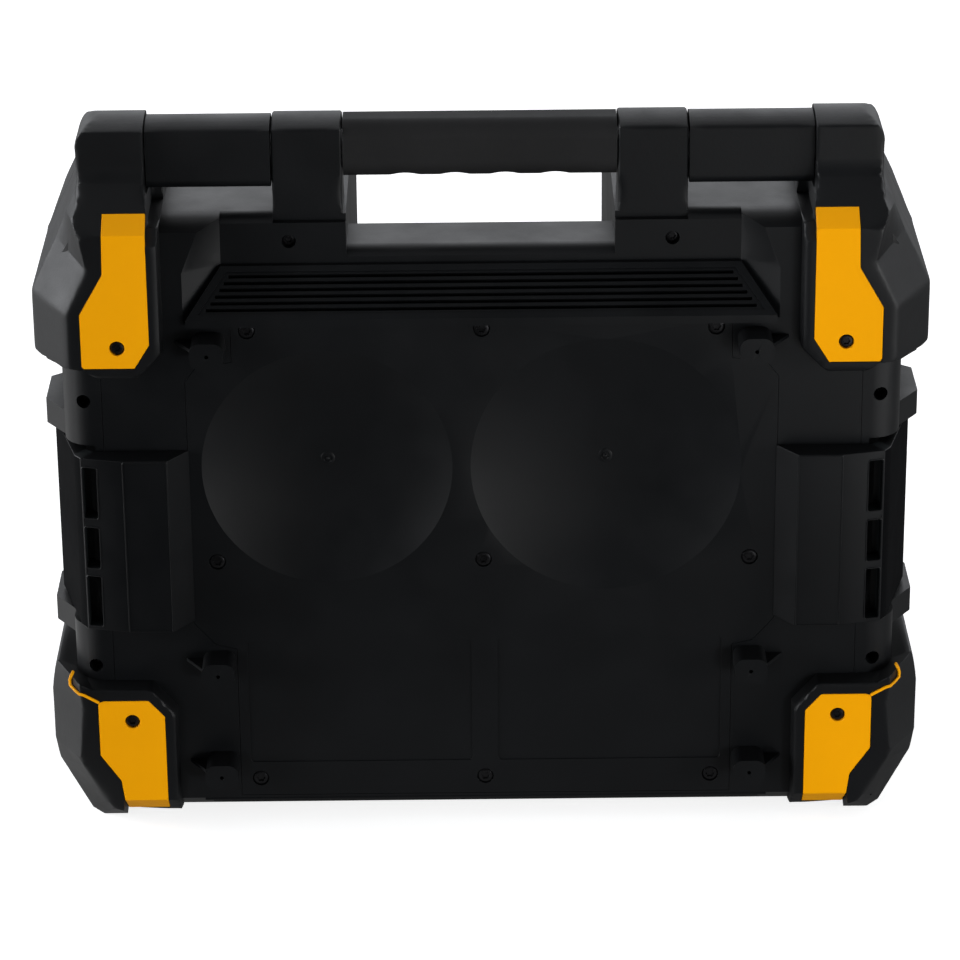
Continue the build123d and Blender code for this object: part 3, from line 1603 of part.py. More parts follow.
# ---------------------------------------------------------------- sockets and flap
aux_radius = 1.75
dc_radius = 3.2
with BuildPart() as port_block:
    with BuildSketch(upright(inner_front_y)):
        with Locations((port_x, port_z)):
            Rectangle(port_width, port_height)
    extrude(amount=-16)
    with BuildSketch(upright(inner_front_y)):
        with Locations((port_x, port_z)):
            RectangleRounded(
                port_width - 2 * port_lip_x - 0.4, port_height - 2 * port_lip_z - 0.4, 2.8
            )
    extrude(amount=wall - 0.5)
    with BuildSketch(upright(front_y)):
        with Locations((port_x + 12, port_z)):
            Circle(aux_radius)
    extrude(amount=-16, mode=Mode.SUBTRACT)
    with BuildSketch(upright(front_y)):
        with Locations((port_x - 11, port_z)):
            Circle(dc_radius)
        with Locations((port_x + 1, port_z)):
            Rectangle(5, 12)
    extrude(amount=-12, mode=Mode.SUBTRACT)
finish(port_block, "port_block")

flap_axis_y = front_y - 3.4
flap_axis_z = port_z + flap_rise
flap_pin_radius = 1.2
with BuildPart() as port_flap:
    with BuildSketch(upright(front_y - fit_gap)):
        with Locations((port_x, port_z)):
            RectangleRounded(port_width, port_height, 4)
    extrude(amount=2.6)
    with BuildSketch(side_section(port_x - 14)):
        with BuildLine():
            Polyline(
                (front_y - fit_gap - 2.6, port_z + 9),
                (front_y - fit_gap, port_z + 9),
                (flap_axis_y + 2, flap_axis_z),
                (flap_axis_y - 2, flap_axis_z),
                close=True,
            )
        make_face()
        with Locations((flap_axis_y, flap_axis_z)):
            Circle(3)
            Circle(flap_pin_radius + flap_pin_play, mode=Mode.SUBTRACT)
    extrude(amount=28)
finish(port_flap, "port_flap")
with BuildPart() as flap_pin:
    with BuildSketch(side_section(port_x - 18)):
        with Locations((flap_axis_y, flap_axis_z)):
            Circle(flap_pin_radius)
    extrude(amount=36)
    for side in (1, -1):
        with Locations((port_x + side * 16.5, front_y, flap_axis_z)):
            Box(3, 6, 5, align=(Align.CENTER, Align.MAX, Align.CENTER))
finish(flap_pin, "flap_bracket")
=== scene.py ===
"""Jobsite radio: the looks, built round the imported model. Metres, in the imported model's frame."""
import json
import math

import bmesh
import bpy
from mathutils import Matrix, Vector
from mathutils.bvhtree import BVHTree


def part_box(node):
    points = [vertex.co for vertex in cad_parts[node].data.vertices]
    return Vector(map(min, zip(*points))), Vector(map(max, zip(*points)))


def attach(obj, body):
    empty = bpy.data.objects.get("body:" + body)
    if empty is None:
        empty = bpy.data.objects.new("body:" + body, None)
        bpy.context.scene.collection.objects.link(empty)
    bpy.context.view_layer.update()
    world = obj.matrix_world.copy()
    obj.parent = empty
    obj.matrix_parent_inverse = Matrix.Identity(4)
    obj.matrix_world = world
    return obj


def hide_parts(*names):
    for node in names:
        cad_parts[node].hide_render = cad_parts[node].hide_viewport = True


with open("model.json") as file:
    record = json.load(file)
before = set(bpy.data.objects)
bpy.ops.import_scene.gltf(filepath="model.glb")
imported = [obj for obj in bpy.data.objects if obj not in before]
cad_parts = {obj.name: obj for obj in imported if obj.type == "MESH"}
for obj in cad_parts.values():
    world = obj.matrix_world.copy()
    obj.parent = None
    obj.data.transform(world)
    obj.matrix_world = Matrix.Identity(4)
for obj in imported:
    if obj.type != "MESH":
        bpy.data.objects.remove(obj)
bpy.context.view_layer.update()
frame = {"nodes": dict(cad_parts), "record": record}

# ---------------------------------------------------------------- camera and light levels
CAMERA_PLACE = (0.005, 1.9781, 0.9916)
CAMERA_PITCH = 23.14  # degrees below the horizon
CAMERA_YAW = -0.11
CAMERA_ROLL = -0.53
CAMERA_LENS = 154.3
SENSOR_WIDTH = 36.0
FLOOR_SIZE = 12.0
FLOOR_SEEN = 0.90  # the floor's tone to the camera
FLOOR_TONE = 0.12  # its tone in the light that it throws back
FLOOR_MIRRORED = 0.02  # its tone in mirrors, where its glow stands in for it
FLOOR_GLOW = 0.80  # the floor's own light to the camera, so that it reads as white

# levels of the studio as the radio's surfaces mirror them, and the spans over which they fade,
# in a direction's X, Y or Z or in metres on the floor
PAPER_LEVEL = 1.1  # white paper behind the radio
PAPER_SPAN_Y = (-0.75, -0.15)
LEFT_LEVEL = 5.0  # card at the photograph's left
LEFT_SPAN_X = (0.70, 0.98)
RIGHT_LEVEL = 0.8  # card at its right
RIGHT_SPAN_X = (-0.98, -0.70)
TOP_LEVEL = 0.25  # overhead light
TOP_SPAN_Z = (0.78, 0.96)
UNDER_TOP_SPAN_Z = (0.55, 0.85)  # paper and cards fade here to their share at the top
UNDER_TOP_SHARE = 0.15
ROOM_LEVEL = 0.02
FLOOR_SHARE = 0.12  # of the surround, carried on by the floor
FLOOR_SHARE_SPAN = (0.15, 0.30)
NEAR_LEVEL = 0.11  # the table close to the radio
NEAR_SPAN = (0.20, 0.42)
TABLE_LEVEL = 1.0  # the lit part of the table
TABLE_SPAN_X = (-0.60, -0.05)
TABLE_SPAN_Y = (0.25, 0.60)
STUDIO_TINT = (0.97, 0.99, 1.03, 1)
WHITE = (1, 1, 1, 1)


def add_camera():
    """The photograph's camera: behind the radio, looking at its back from above."""
    data = bpy.data.cameras.new("camera")
    data.lens = CAMERA_LENS
    data.sensor_width = SENSOR_WIDTH
    camera = bpy.data.objects.new("camera", data)
    bpy.context.scene.collection.objects.link(camera)
    pitch = math.radians(90 - CAMERA_PITCH)
    turn = math.radians(180 + CAMERA_YAW)
    camera.matrix_world = (
        Matrix.Translation(CAMERA_PLACE)
        @ Matrix.Rotation(turn, 4, "Z")
        @ Matrix.Rotation(pitch, 4, "X")
        @ Matrix.Rotation(math.radians(CAMERA_ROLL), 4, "Z")
    )
    bpy.context.scene.camera = camera


# ---------------------------------------------------------------- node helpers
NOISE_SPAN = (0.3, 0.7)


def new_material(name):
    """A node material, its tree and its shader."""
    material = bpy.data.materials.new(name)
    material.use_nodes = True
    tree = material.node_tree
    shader = tree.nodes["Principled BSDF"]
    return material, tree, shader


def ramp(tree, source, low, high):
    """Spreads the middle of a noise over low to high, numbers or colours."""
    node = tree.nodes.new("ShaderNodeValToRGB")
    for element, position, value in zip(node.color_ramp.elements, NOISE_SPAN, (low, high)):
        element.position = position
        colour = value if isinstance(value, tuple) else (value, value, value)
        element.color = (*colour, 1.0)
    tree.links.new(source, node.inputs["Fac"])
    return node.outputs["Color"]


def noise(tree, scale, detail=3.0, roughness=0.55):
    """Noise in object space, so it stays with its piece."""
    place = tree.nodes.new("ShaderNodeTexCoord")
    node = tree.nodes.new("ShaderNodeTexNoise")
    node.inputs["Scale"].default_value = scale
    node.inputs["Detail"].default_value = detail
    node.inputs["Roughness"].default_value = roughness
    tree.links.new(place.outputs["Object"], node.inputs["Vector"])
    return node.outputs["Fac"]


def bump(tree, shader, height, distance):
    """Gives a shader a fine relief."""
    node = tree.nodes.new("ShaderNodeBump")
    node.inputs["Strength"].default_value = 1.0
    node.inputs["Distance"].default_value = distance
    tree.links.new(height, node.inputs["Height"])
    tree.links.new(node.outputs["Normal"], shader.inputs["Normal"])


def fade(tree, source, span, low, high):
    """A number that goes smoothly from low to high over a span of the source."""
    node = tree.nodes.new("ShaderNodeMapRange")
    node.interpolation_type = "SMOOTHSTEP"
    for socket, value in zip(("From Min", "From Max", "To Min", "To Max"), (*span, low, high)):
        node.inputs[socket].default_value = value
    tree.links.new(source, node.inputs["Value"])
    return node.outputs["Result"]


def arithmetic(tree, operation, first, second):
    """Two numbers or sockets joined by an operation."""
    node = tree.nodes.new("ShaderNodeMath")
    node.operation = operation
    for socket, value in zip(node.inputs, (first, second)):
        if isinstance(value, (int, float)):
            socket.default_value = value
        else:
            tree.links.new(value, socket)
    return node.outputs["Value"]


def choice(tree, factor, low, high, blend="MIX"):
    """A colour that goes from low to high with a factor; each may be a socket or a value."""
    node = tree.nodes.new("ShaderNodeMix")
    node.data_type = "RGBA"
    node.blend_type = blend
    for socket, value in (("Factor", factor), ("A", low), ("B", high)):
        if isinstance(value, (int, float, tuple)):
            node.inputs[socket].default_value = value
        else:
            tree.links.new(value, node.inputs[socket])
    return node.outputs["Result"]


def vector(tree, operation, source):
    """A vector or length worked out from a vector."""
    node = tree.nodes.new("ShaderNodeVectorMath")
    node.operation = operation
    tree.links.new(source, node.inputs[0])
    return node.outputs["Value" if operation == "LENGTH" else "Vector"]


def axes(tree, source):
    """The X, Y and Z of a vector."""
    node = tree.nodes.new("ShaderNodeSeparateXYZ")
    tree.links.new(source, node.inputs["Vector"])
    return node.outputs


def grey(level):
    return (level, level, level, 1)


def shade(colour, factor):
    """The colour made lighter or darker."""
    return tuple(min(1.0, c * factor) for c in colour)


def moulded(name, colour, rough, grain=900.0, grain_depth=0.00003, spread=0.25, gloss=0.5):
    """Moulded plastic or rubber with a fine spark-eroded grain and slight handling marks."""
    material, tree, shader = new_material(name)
    patches = noise(tree, scale=14.0, detail=4.0)
    tree.links.new(
        ramp(tree, patches, shade(colour, 1 - spread), shade(colour, 1 + spread)),
        shader.inputs["Base Color"],
    )
    smears = noise(tree, scale=38.0, detail=5.0, roughness=0.65)
    tree.links.new(ramp(tree, smears, rough - 0.05, rough + 0.06), shader.inputs["Roughness"])
    shader.inputs["Specular IOR Level"].default_value = gloss
    bump(tree, shader, noise(tree, scale=grain, detail=2.0), grain_depth)
    return material


def metal(name, colour, rough, metallic=1.0):
    """Turned or drawn metal with fine marks."""
    material, tree, shader = new_material(name)
    marks = noise(tree, scale=220.0)
    tree.links.new(
        ramp(tree, marks, shade(colour, 0.8), shade(colour, 1.15)), shader.inputs["Base Color"]
    )
    tree.links.new(ramp(tree, marks, rough - 0.06, rough + 0.08), shader.inputs["Roughness"])
    shader.inputs["Metallic"].default_value = metallic
    bump(tree, shader, noise(tree, scale=1600.0, detail=2.0), 0.00001)
    return material


def window_glass(name):
    """Clear display window, slightly smoked."""
    material, tree, shader = new_material(name)
    haze = noise(tree, scale=60.0)
    tree.links.new(
        ramp(tree, haze, (0.62, 0.64, 0.66), (0.70, 0.72, 0.74)), shader.inputs["Base Color"]
    )
    tree.links.new(ramp(tree, haze, 0.03, 0.07), shader.inputs["Roughness"])
    shader.inputs["Transmission Weight"].default_value = 1.0
    shader.inputs["IOR"].default_value = 1.46
    return material


BLACK = (0.0034, 0.0038, 0.0044)
materials = {
    "shell": moulded("shell_plastic", BLACK, 0.42),
    "panel": moulded("panel_plastic", (0.0032, 0.0036, 0.0042), 0.46, grain=1100.0),
    "guard": moulded("guard_plastic", (0.0030, 0.0034, 0.0040), 0.48, 700.0, 0.00005),
    "yellow": moulded("yellow_plastic", (0.90, 0.375, 0.001), 0.50, spread=0.03, gloss=0.2),
    "latch": moulded("latch_plastic", BLACK, 0.42, gloss=0.4),
    # painted light: a lighter plastic for the latch windows' floors, which lie deep in shade
    "latch_window": moulded("latch_window_painted_light", (0.013, 0.016, 0.017), 0.50),
    # painted shade: a darker, duller copy of the latch plastic for the latch's outward faces
    "latch_side_painted_shade": moulded("painted_shade_latch_plastic", (0.0022, 0.0024, 0.0028), 0.85, gloss=0.05),
    "grip": moulded("grip_rubber", (0.0085, 0.0085, 0.0088), 0.72, 1300.0, 0.00006),
    "core": metal("tube_metal", (0.60, 0.61, 0.62), 0.35),
    "screw": metal("black_oxide", (0.045, 0.045, 0.048), 0.26, 0.9),
    "pin": metal("pin_steel", (0.48, 0.48, 0.49), 0.30),
    "grille": moulded("grille_coat", (0.010, 0.010, 0.011), 0.48, 500.0, 0.00006),
    "basket": metal("basket_lacquer", (0.03, 0.03, 0.032), 0.40, 0.3),
    "cone": moulded("cone_paper", (0.022, 0.022, 0.024), 0.66, 260.0, 0.0001),
    "tweeter": moulded("tweeter_plastic", (0.013, 0.013, 0.014), 0.36),
    "fascia": moulded("fascia_plastic", (0.011, 0.011, 0.012), 0.33, grain=1500.0),
    "window": window_glass("display_glass"),
    "board": moulded("laminate", (0.010, 0.060, 0.026), 0.35, grain=300.0),
    "knob": moulded("knob_rubber", (0.010, 0.010, 0.011), 0.58, grain=1000.0),
    "button": moulded("button_rubber", (0.016, 0.016, 0.018), 0.62, grain=1000.0),
    "bay": moulded("bay_plastic", (0.012, 0.012, 0.013), 0.50),
    "dock": moulded("dock_plastic", (0.008, 0.008, 0.009), 0.44),
    "socket": moulded("socket_plastic", (0.008, 0.008, 0.009), 0.30),
    "flap": moulded("flap_rubber", (0.010, 0.010, 0.010), 0.68, grain=1000.0),
}
slot_of = {s["node"]: s["material_slot"] for s in frame["record"]["subparts"]}
body_of = {
    node: body
    for body, nodes in frame["record"]["behaviour"]["bodies"].items()
    for node in nodes
}


# ---------------------------------------------------------------- dressing the solids
DOUBLED = 0.000002  # points closer than this are one
FLAT_ANGLE = 0.6  # degrees; faces that meet at less are one
SHARP_ANGLE = 19.0  # corners above this stay crisp
EDGE_ANGLE = 22.0  # edges above this are rounded
EDGE = (0.0009, 3)  # width of a rounded edge and its steps
FINE_EDGE = (0.0006, 2)  # for pieces with slats and narrow bars
SOFT_EDGE = (0.0005, 2, 28.0)  # after softening, with its own angle
FINE = {"rear_shell", "side_latch_left", "side_latch_right"}
PLAIN = {"display_window", "main_board", "charger_board", "handle_core", "encoder_shaft"}
SCREWS = {"panel_screws", "housing_screws", "guard_screws"}
GUARDS = {node for node in frame["nodes"] if slot_of[node] == "guard"}
SHANK_RADIUS = 0.0014
HEAD_HEIGHT = 0.0016
LOBES = 6
LOBE_SHARE = 0.13
DISH_DEPTH = 0.013
DISHES = ((0.077, 0.1975, 0.062), (-0.061, 0.1975, 0.067))  # X, Z and radius
ON_DISH = 0.00004


def opened(mesh, merged=True):
    """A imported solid's mesh opened for work: doubled points joined, flat faces merged."""
    work = bmesh.new()
    work.from_mesh(mesh)
    bmesh.ops.remove_doubles(work, verts=work.verts, dist=DOUBLED)
    if merged:
        bmesh.ops.dissolve_limit(
            work, angle_limit=math.radians(FLAT_ANGLE), verts=work.verts, edges=work.edges
        )
    return work


def saved(work, mesh):
    work.to_mesh(mesh)
    work.free()


def smoothed(mesh, sharp_angle=None):
    """Shades a mesh smoothly, but for the corners above an angle in degrees."""
    for polygon in mesh.polygons:
        polygon.use_smooth = True
    if sharp_angle is not None:
        mesh.set_sharp_from_angle(angle=math.radians(sharp_angle))


def linked(name, data):
    """A new object in the scene."""
    piece = bpy.data.objects.new(name, data)
    bpy.context.scene.collection.objects.link(piece)
    return piece


def mesh_object(name, points, faces):
    mesh = bpy.data.meshes.new(name)
    mesh.from_pydata(points, [], faces)
    return linked(name, mesh)


def copied(node):
    """A copy of a solid's mesh under the name of its finished piece."""
    mesh = frame["nodes"][node].data.copy()
    mesh.name = node + "_finished"
    return mesh


def area(mesh):
    return sum(polygon.area for polygon in mesh.polygons)


def bevelled(piece, width, segments, angle, miter="MITER_SHARP"):
    """Real rounded edges and even shading, made part of the mesh."""
    smoothed(piece.data, SHARP_ANGLE)
    edges = piece.modifiers.new("round", "BEVEL")
    edges.width = width
    edges.segments = segments
    edges.limit_method = "ANGLE"
    edges.angle_limit = math.radians(angle)
    edges.use_clamp_overlap = True
    edges.miter_outer = miter
    piece.modifiers.new("split", "TRIANGULATE").min_vertices = 5
    shading = piece.modifiers.new("normals", "WEIGHTED_NORMAL")
    shading.keep_sharp = False
    shading.weight = 50
    apply_modifiers(piece)


def rounded(node, width, segments, merged):
    """A copy of a solid with bevelled edges."""
    mesh = copied(node)
    saved(opened(mesh, merged), mesh)
    piece = linked(node + "_finished", mesh)
    bevelled(piece, width, segments, EDGE_ANGLE, "MITER_ARC")
    return piece


def dressed(node):
    """A copy of a solid with real rounded edges, which then stands for it."""
    width, segments = FINE_EDGE if node in FINE else EDGE
    piece = rounded(node, width, segments, merged=True)
    if area(piece.data) > area(frame["nodes"][node].data):
        # a merged face with holes has folded over itself: start from the solid's triangles
        bpy.data.objects.remove(piece)
        piece = rounded(node, width, segments, merged=False)
    stands_for(piece, node)
    return piece


def cut_up(mesh, cell):
    """Divides every face along a grid of planes, so that its inside can be shaped."""
    work = opened(mesh)
    for axis in range(3):
        across = Vector([1.0 if i == axis else 0.0 for i in range(3)])
        low = min(v.co[axis] for v in work.verts)
        high = max(v.co[axis] for v in work.verts)
        count = max(1, round((high - low) / cell))
        for step in range(1, count):
            bmesh.ops.bisect_plane(
                work,
                geom=work.verts[:] + work.edges[:] + work.faces[:],
                dist=0.00001,
                plane_co=across * (low + (high - low) * step / count),
                plane_no=across,
            )
    saved(work, mesh)


def near_tree(node, margin=0.012):
    """A search tree of the solids that a node touches or nearly touches."""
    low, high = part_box(node)
    points = []
    faces = []
    for other, solid in frame["nodes"].items():
        other_low, other_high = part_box(other)
        apart = [
            other_low[i] > high[i] + margin or other_high[i] < low[i] - margin for i in range(3)
        ]
        if other == node or any(apart):
            continue
        start = len(points)
        points.extend(v.co.copy() for v in solid.data.vertices)
        faces.extend([start + i for i in p.vertices] for p in solid.data.polygons)
    return BVHTree.FromPolygons(points, faces)


def softened(node, cell=0.004, rounds=24, clear=0.002, fading=0.006):
    """A copy of a solid with generous soft corners, crisp only where it meets its neighbours."""
    mesh = copied(node)
    cut_up(mesh, cell)
    piece = linked(node + "_finished", mesh)
    finer = piece.modifiers.new("finer", "SUBSURF")
    finer.subdivision_type = "SIMPLE"
    finer.levels = 1
    apply_modifiers(piece)
    tree = near_tree(node)
    free = piece.vertex_groups.new(name="free")
    for vert in piece.data.vertices:
        gap = tree.find_nearest(vert.co, fading + clear)[3]
        share = 1.0 if gap is None else max(0.0, (gap - clear) / fading)
        free.add([vert.index], share, "REPLACE")
    soft = piece.modifiers.new("soft", "SMOOTH")
    soft.factor = 0.5
    soft.iterations = rounds
    soft.vertex_group = "free"
    lighter = piece.modifiers.new("lighter", "DECIMATE")
    lighter.decimate_type = "DISSOLVE"
    lighter.angle_limit = math.radians(0.5)
    apply_modifiers(piece)
    bevelled(piece, *SOFT_EDGE)
    stands_for(piece, node)
    return piece


def apply_modifiers(piece):
    """Makes the modified mesh the piece's own."""
    graph = bpy.context.evaluated_depsgraph_get()
    result = bpy.data.meshes.new_from_object(piece.evaluated_get(graph))
    piece.modifiers.clear()
    piece.data = result


def finish_piece(piece, slot, body):
    """Gives a piece its material, slot and body."""
    piece.data.materials.clear()
    piece.data.materials.append(materials[slot])
    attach(piece, body)


def stands_for(piece, node):
    """Lets a finished piece take the place of its solid."""
    finish_piece(piece, slot_of[node], body_of[node])
    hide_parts(node)


def islands(mesh):
    """The separate solids of a mesh as lists of points."""
    work = opened(mesh, merged=False)
    left = set(work.verts)
    groups = []
    while left:
        stack = [left.pop()]
        group = []
        while stack:
            vert = stack.pop()
            group.append(vert.co.copy())
            for edge in vert.link_edges:
                other = edge.other_vert(vert)
                if other in left:
                    left.remove(other)
                    stack.append(other)
        groups.append(group)
    work.free()
    return groups


def screw_heads(node, steps=36):
    """Pan heads with a six-lobed drive in place of a node's plain screws."""
    points = []
    faces = []
    for group in islands(frame["nodes"][node].data):
        low = [min(p[i] for p in group) for i in range(3)]
        high = [max(p[i] for p in group) for i in range(3)]
        centre_x, centre_z = (low[0] + high[0]) / 2, (low[2] + high[2]) / 2
        radius = (high[0] - low[0]) / 2
        outward = 1 if low[1] + high[1] > 0 else -1
        face_y, foot_y = (high[1], low[1]) if outward > 0 else (low[1], high[1])
        # radius, depth below the face, share of the lobes
        rings = [
            (SHANK_RADIUS, abs(face_y - foot_y), 0.0),
            (SHANK_RADIUS, HEAD_HEIGHT, 0.0),
            (radius, HEAD_HEIGHT, 0.0),
            (radius, 0.0007, 0.0),
            (radius - 0.0003, 0.00025, 0.0),
            (radius - 0.0009, 0.0, 0.0),
            (radius * 0.52, 0.0, 1.0),
            (radius * 0.48, 0.0003, 1.0),
            (radius * 0.44, 0.0011, 1.0),
        ]
        start = len(points)
        for ring_radius, sunk, lobes in rings:
            for step in range(steps):
                turn = 2 * math.pi * step / steps
                reach = ring_radius * (1 + LOBE_SHARE * lobes * math.cos(LOBES * turn))
                points.append(
                    (
                        centre_x + reach * math.cos(turn),
                        face_y - outward * sunk,
                        centre_z + reach * math.sin(turn),
                    )
                )
        for ring in range(len(rings) - 1):
            for step in range(steps):
                a = start + ring * steps + step
                b = start + ring * steps + (step + 1) % steps
                face = (a, b, b + steps, a + steps)
                faces.append(face if outward > 0 else (face[0], *face[:0:-1]))
        last = start + (len(rings) - 1) * steps
        cap = list(range(last, last + steps))
        faces.append(cap if outward > 0 else cap[::-1])
        base = list(range(start, start + steps))
        faces.append(base[::-1] if outward > 0 else base)
    piece = mesh_object(node + "_finished", points, faces)
    smoothed(piece.data, 34)
    stands_for(piece, node)


def true_dish_normals(piece):
    """Gives the faces of the two dished fields the normals of their spheres."""
    mesh = piece.data
    normals = [tuple(n.vector) for n in mesh.corner_normals]
    face_y = max(v.co.y for v in mesh.vertices)
    for dish_x, dish_z, dish_radius in DISHES:
        ball = (dish_radius**2 + DISH_DEPTH**2) / (2 * DISH_DEPTH)
        centre = Vector((dish_x, face_y - DISH_DEPTH + ball, dish_z))
        on_ball = [abs((v.co - centre).length - ball) < ON_DISH for v in mesh.vertices]
        for polygon in mesh.polygons:
            if all(on_ball[i] for i in polygon.vertices):
                for loop in polygon.loop_indices:
                    corner = mesh.vertices[mesh.loops[loop].vertex_index].co
                    normals[loop] = tuple((centre - corner).normalized())
    mesh.normals_split_custom_set(normals)


for node, solid in frame["nodes"].items():
    solid.data.materials.clear()
    solid.data.materials.append(materials[slot_of[node]])
    smoothed(solid.data)

finished = {
    node: softened(node) if node in GUARDS else dressed(node)
    for node in frame["nodes"]
    if node not in PLAIN | SCREWS
}
for node in sorted(SCREWS):
    screw_heads(node)
true_dish_normals(finished["rear_panel"])


# ---------------------------------------------------------------- thin trim
def bead(name, path, radius, slot, body, closed=False):
    """A thin round bead laid along a path of points."""
    curve = bpy.data.curves.new(name, "CURVE")
    curve.dimensions = "3D"
    curve.bevel_depth = radius
    curve.bevel_resolution = 3
    curve.use_fill_caps = not closed
    spline = curve.splines.new("POLY")
    spline.points.add(len(path) - 1)
    for point, place in zip(spline.points, path):
        point.co = (*place, 1.0)
    spline.use_cyclic_u = closed
    shaped = linked(name, curve)
    graph = bpy.context.evaluated_depsgraph_get()
    mesh = bpy.data.meshes.new_from_object(shaped.evaluated_get(graph))
    bpy.data.objects.remove(shaped)
    smoothed(mesh)
    finish_piece(linked(name, mesh), slot, body)


def boss(name, centre, profile, slot, steps=40):
    """A small turned shape on a face that looks back; its profile is radius and rise."""
    points = []
    faces = []
    for radius, rise in profile:
        for step in range(steps):
            turn = 2 * math.pi * step / steps
            points.append(
                (
                    centre[0] + radius * math.cos(turn),
                    centre[1] + rise,
                    centre[2] + radius * math.sin(turn),
                )
            )
    for ring in range(len(profile) - 1):
        for step in range(steps):
            a = ring * steps + step
            b = ring * steps + (step + 1) % steps
            faces.append((a, b, b + steps, a + steps))
    last = (len(profile) - 1) * steps
    faces.append(list(range(last, last + steps)))
    faces.append(list(range(steps))[::-1])
    piece = mesh_object(name, points, faces)
    smoothed(piece.data, 50)
    finish_piece(piece, slot, "radio")


def framed(low_x, high_x, low_z, high_z, corner, face_y, steps=4):
    """A rounded outline on a face, as points; face_y gives the face's Y at an X."""
    path = []
    centres = (
        (high_x - corner, high_z - corner, 0),
        (low_x + corner, high_z - corner, 90),
        (low_x + corner, low_z + corner, 180),
        (high_x - corner, low_z + corner, 270),
    )
    for centre_x, centre_z, start in centres:
        for step in range(steps + 1):
            turn = math.radians(start + 90 * step / steps)
            x = centre_x + corner * math.cos(turn)
            path.append((x, face_y(x), centre_z + corner * math.sin(turn)))
    return path


def mirror_x(path, side):
    return [(side * x, y, z) for x, y, z in path]


PANEL_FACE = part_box("rear_panel")[1][1]
# the pip in the middle of each dish: radius and rise of its rings
PIP = (
    (0.0036, -0.0004),
    (0.0036, 0.0003),
    (0.0031, 0.0006),
    (0.0022, 0.0006),
    (0.0018, 0.0001),
    (0.0009, 0.0002),
    (0.0007, 0.0009),
    (0.0003, 0.0011),
)
for name, (dish_x, dish_z, _) in zip(("left", "right"), DISHES):
    boss("dish_pip_" + name, (dish_x, PANEL_FACE - DISH_DEPTH, dish_z), PIP, "panel")

# three ribs run along the sloping heel below the panel: Y, Z and half their length
HEEL_RIBS = ((0.1022, 0.0140, 0.1435), (0.0995, 0.0120, 0.1395), (0.0968, 0.0101, 0.1355))
HEEL_RIB_RADIUS = 0.0009
for index, (rib_y, rib_z, reach) in enumerate(HEEL_RIBS):
    ends = [(-reach, rib_y, rib_z), (reach, rib_y, rib_z)]
    bead(f"heel_rib_{index + 1}", ends, HEEL_RIB_RADIUS, "shell", "radio")

# the lower plates' flange shows as a thin line round the foot of each corner column
FLANGE_RADIUS = 0.0008
FLANGE = (
    (0.1944, 0.1154, 0.0756),
    (0.2018, 0.1156, 0.0800),
    (0.2042, 0.1147, 0.0803),
    (0.2063, 0.1118, 0.0808),
    (0.2092, 0.1075, 0.0818),
    (0.2093, 0.1072, 0.0846),
    (0.2086, 0.1080, 0.0870),
    (0.2078, 0.1040, 0.0876),
)

# a latch's face: flat to the strip, then a slope to its outer end with three windows
RIM_RADIUS = 0.0004
LATCH_OUTER_X = 0.2070
LATCH_STRIP_X = LATCH_OUTER_X - 0.030
LATCH_PAD_X = LATCH_OUTER_X - 0.0518
LATCH_SLOPE = 5 / 21
PAD_MARGIN = 0.0006
PAD_CORNER = 0.0008
WINDOW_X = (LATCH_OUTER_X - 0.0171, LATCH_OUTER_X - 0.0095)
WINDOWS_Z = ((0.0023, 0.0293), (0.0338, 0.0558), (0.0608, 0.0878))  # above the latch's foot
WINDOW_MARGIN = 0.0003
WINDOW_CORNER = 0.0012
WINDOW_INSIDE_X = (LATCH_OUTER_X - 0.0172, LATCH_OUTER_X - 0.0092)
WINDOW_INSIDE_Y = (0.100, 0.111)
LATCH_SIDE_X = LATCH_OUTER_X - 0.009
SIDEWAYS = 0.8  # a face whose normal has more X than this looks sideways


def trim_latch(latch, name, side):
    """Thin rims on a latch's face, a lighter plastic on its window floors as painted light and a
    darker, duller one on its outward faces as painted shade.
    """
    low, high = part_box(latch)
    body = body_of[latch]
    pad = framed(
        LATCH_PAD_X, LATCH_STRIP_X, low[2] + PAD_MARGIN, high[2] - PAD_MARGIN, PAD_CORNER,
        lambda x: high[1],
    )
    bead("latch_pad_edge_" + name, mirror_x(pad, side), RIM_RADIUS, "latch", body, closed=True)
    for index, (foot, head) in enumerate(WINDOWS_Z):
        rim = framed(
            *WINDOW_X, low[2] + foot - WINDOW_MARGIN, low[2] + head + WINDOW_MARGIN, WINDOW_CORNER,
            lambda x: high[1] - (x - LATCH_STRIP_X) * LATCH_SLOPE,
        )
        rim_name = f"latch_window_rim_{name}_{index + 1}"
        bead(rim_name, mirror_x(rim, side), RIM_RADIUS, "latch", body, closed=True)
    # the outward faces take a darker, duller copy of the plastic as painted shade, the window floors
    # a lighter one as painted light
    mesh = finished[latch].data
    mesh.materials.append(materials["latch_side_painted_shade"])
    mesh.materials.append(materials["latch_window"])
    for polygon in mesh.polygons:
        x, y = abs(polygon.center.x), polygon.center.y
        # painted shade on the outward faces
        if abs(polygon.normal.x) > SIDEWAYS and x > LATCH_SIDE_X:
            polygon.material_index = 1
        # painted light on the window floors
        elif (
            WINDOW_INSIDE_X[0] < x < WINDOW_INSIDE_X[1]
            and WINDOW_INSIDE_Y[0] < y < WINDOW_INSIDE_Y[1]
        ):
            polygon.material_index = 2


for side, name in ((1, "right"), (-1, "left")):
    bead("plate_flange_" + name, mirror_x(FLANGE, side), FLANGE_RADIUS, "yellow", "radio")
    trim_latch("side_latch_" + name, name, side)


# ---------------------------------------------------------------- stage
def seen_directly(tree):
    """1 for the camera and for what it sees through clear parts, 0 for mirrors and light."""
    path = tree.nodes.new("ShaderNodeLightPath")
    return arithmetic(
        tree, "MAXIMUM", path.outputs["Is Camera Ray"], path.outputs["Is Transmission Ray"]
    )


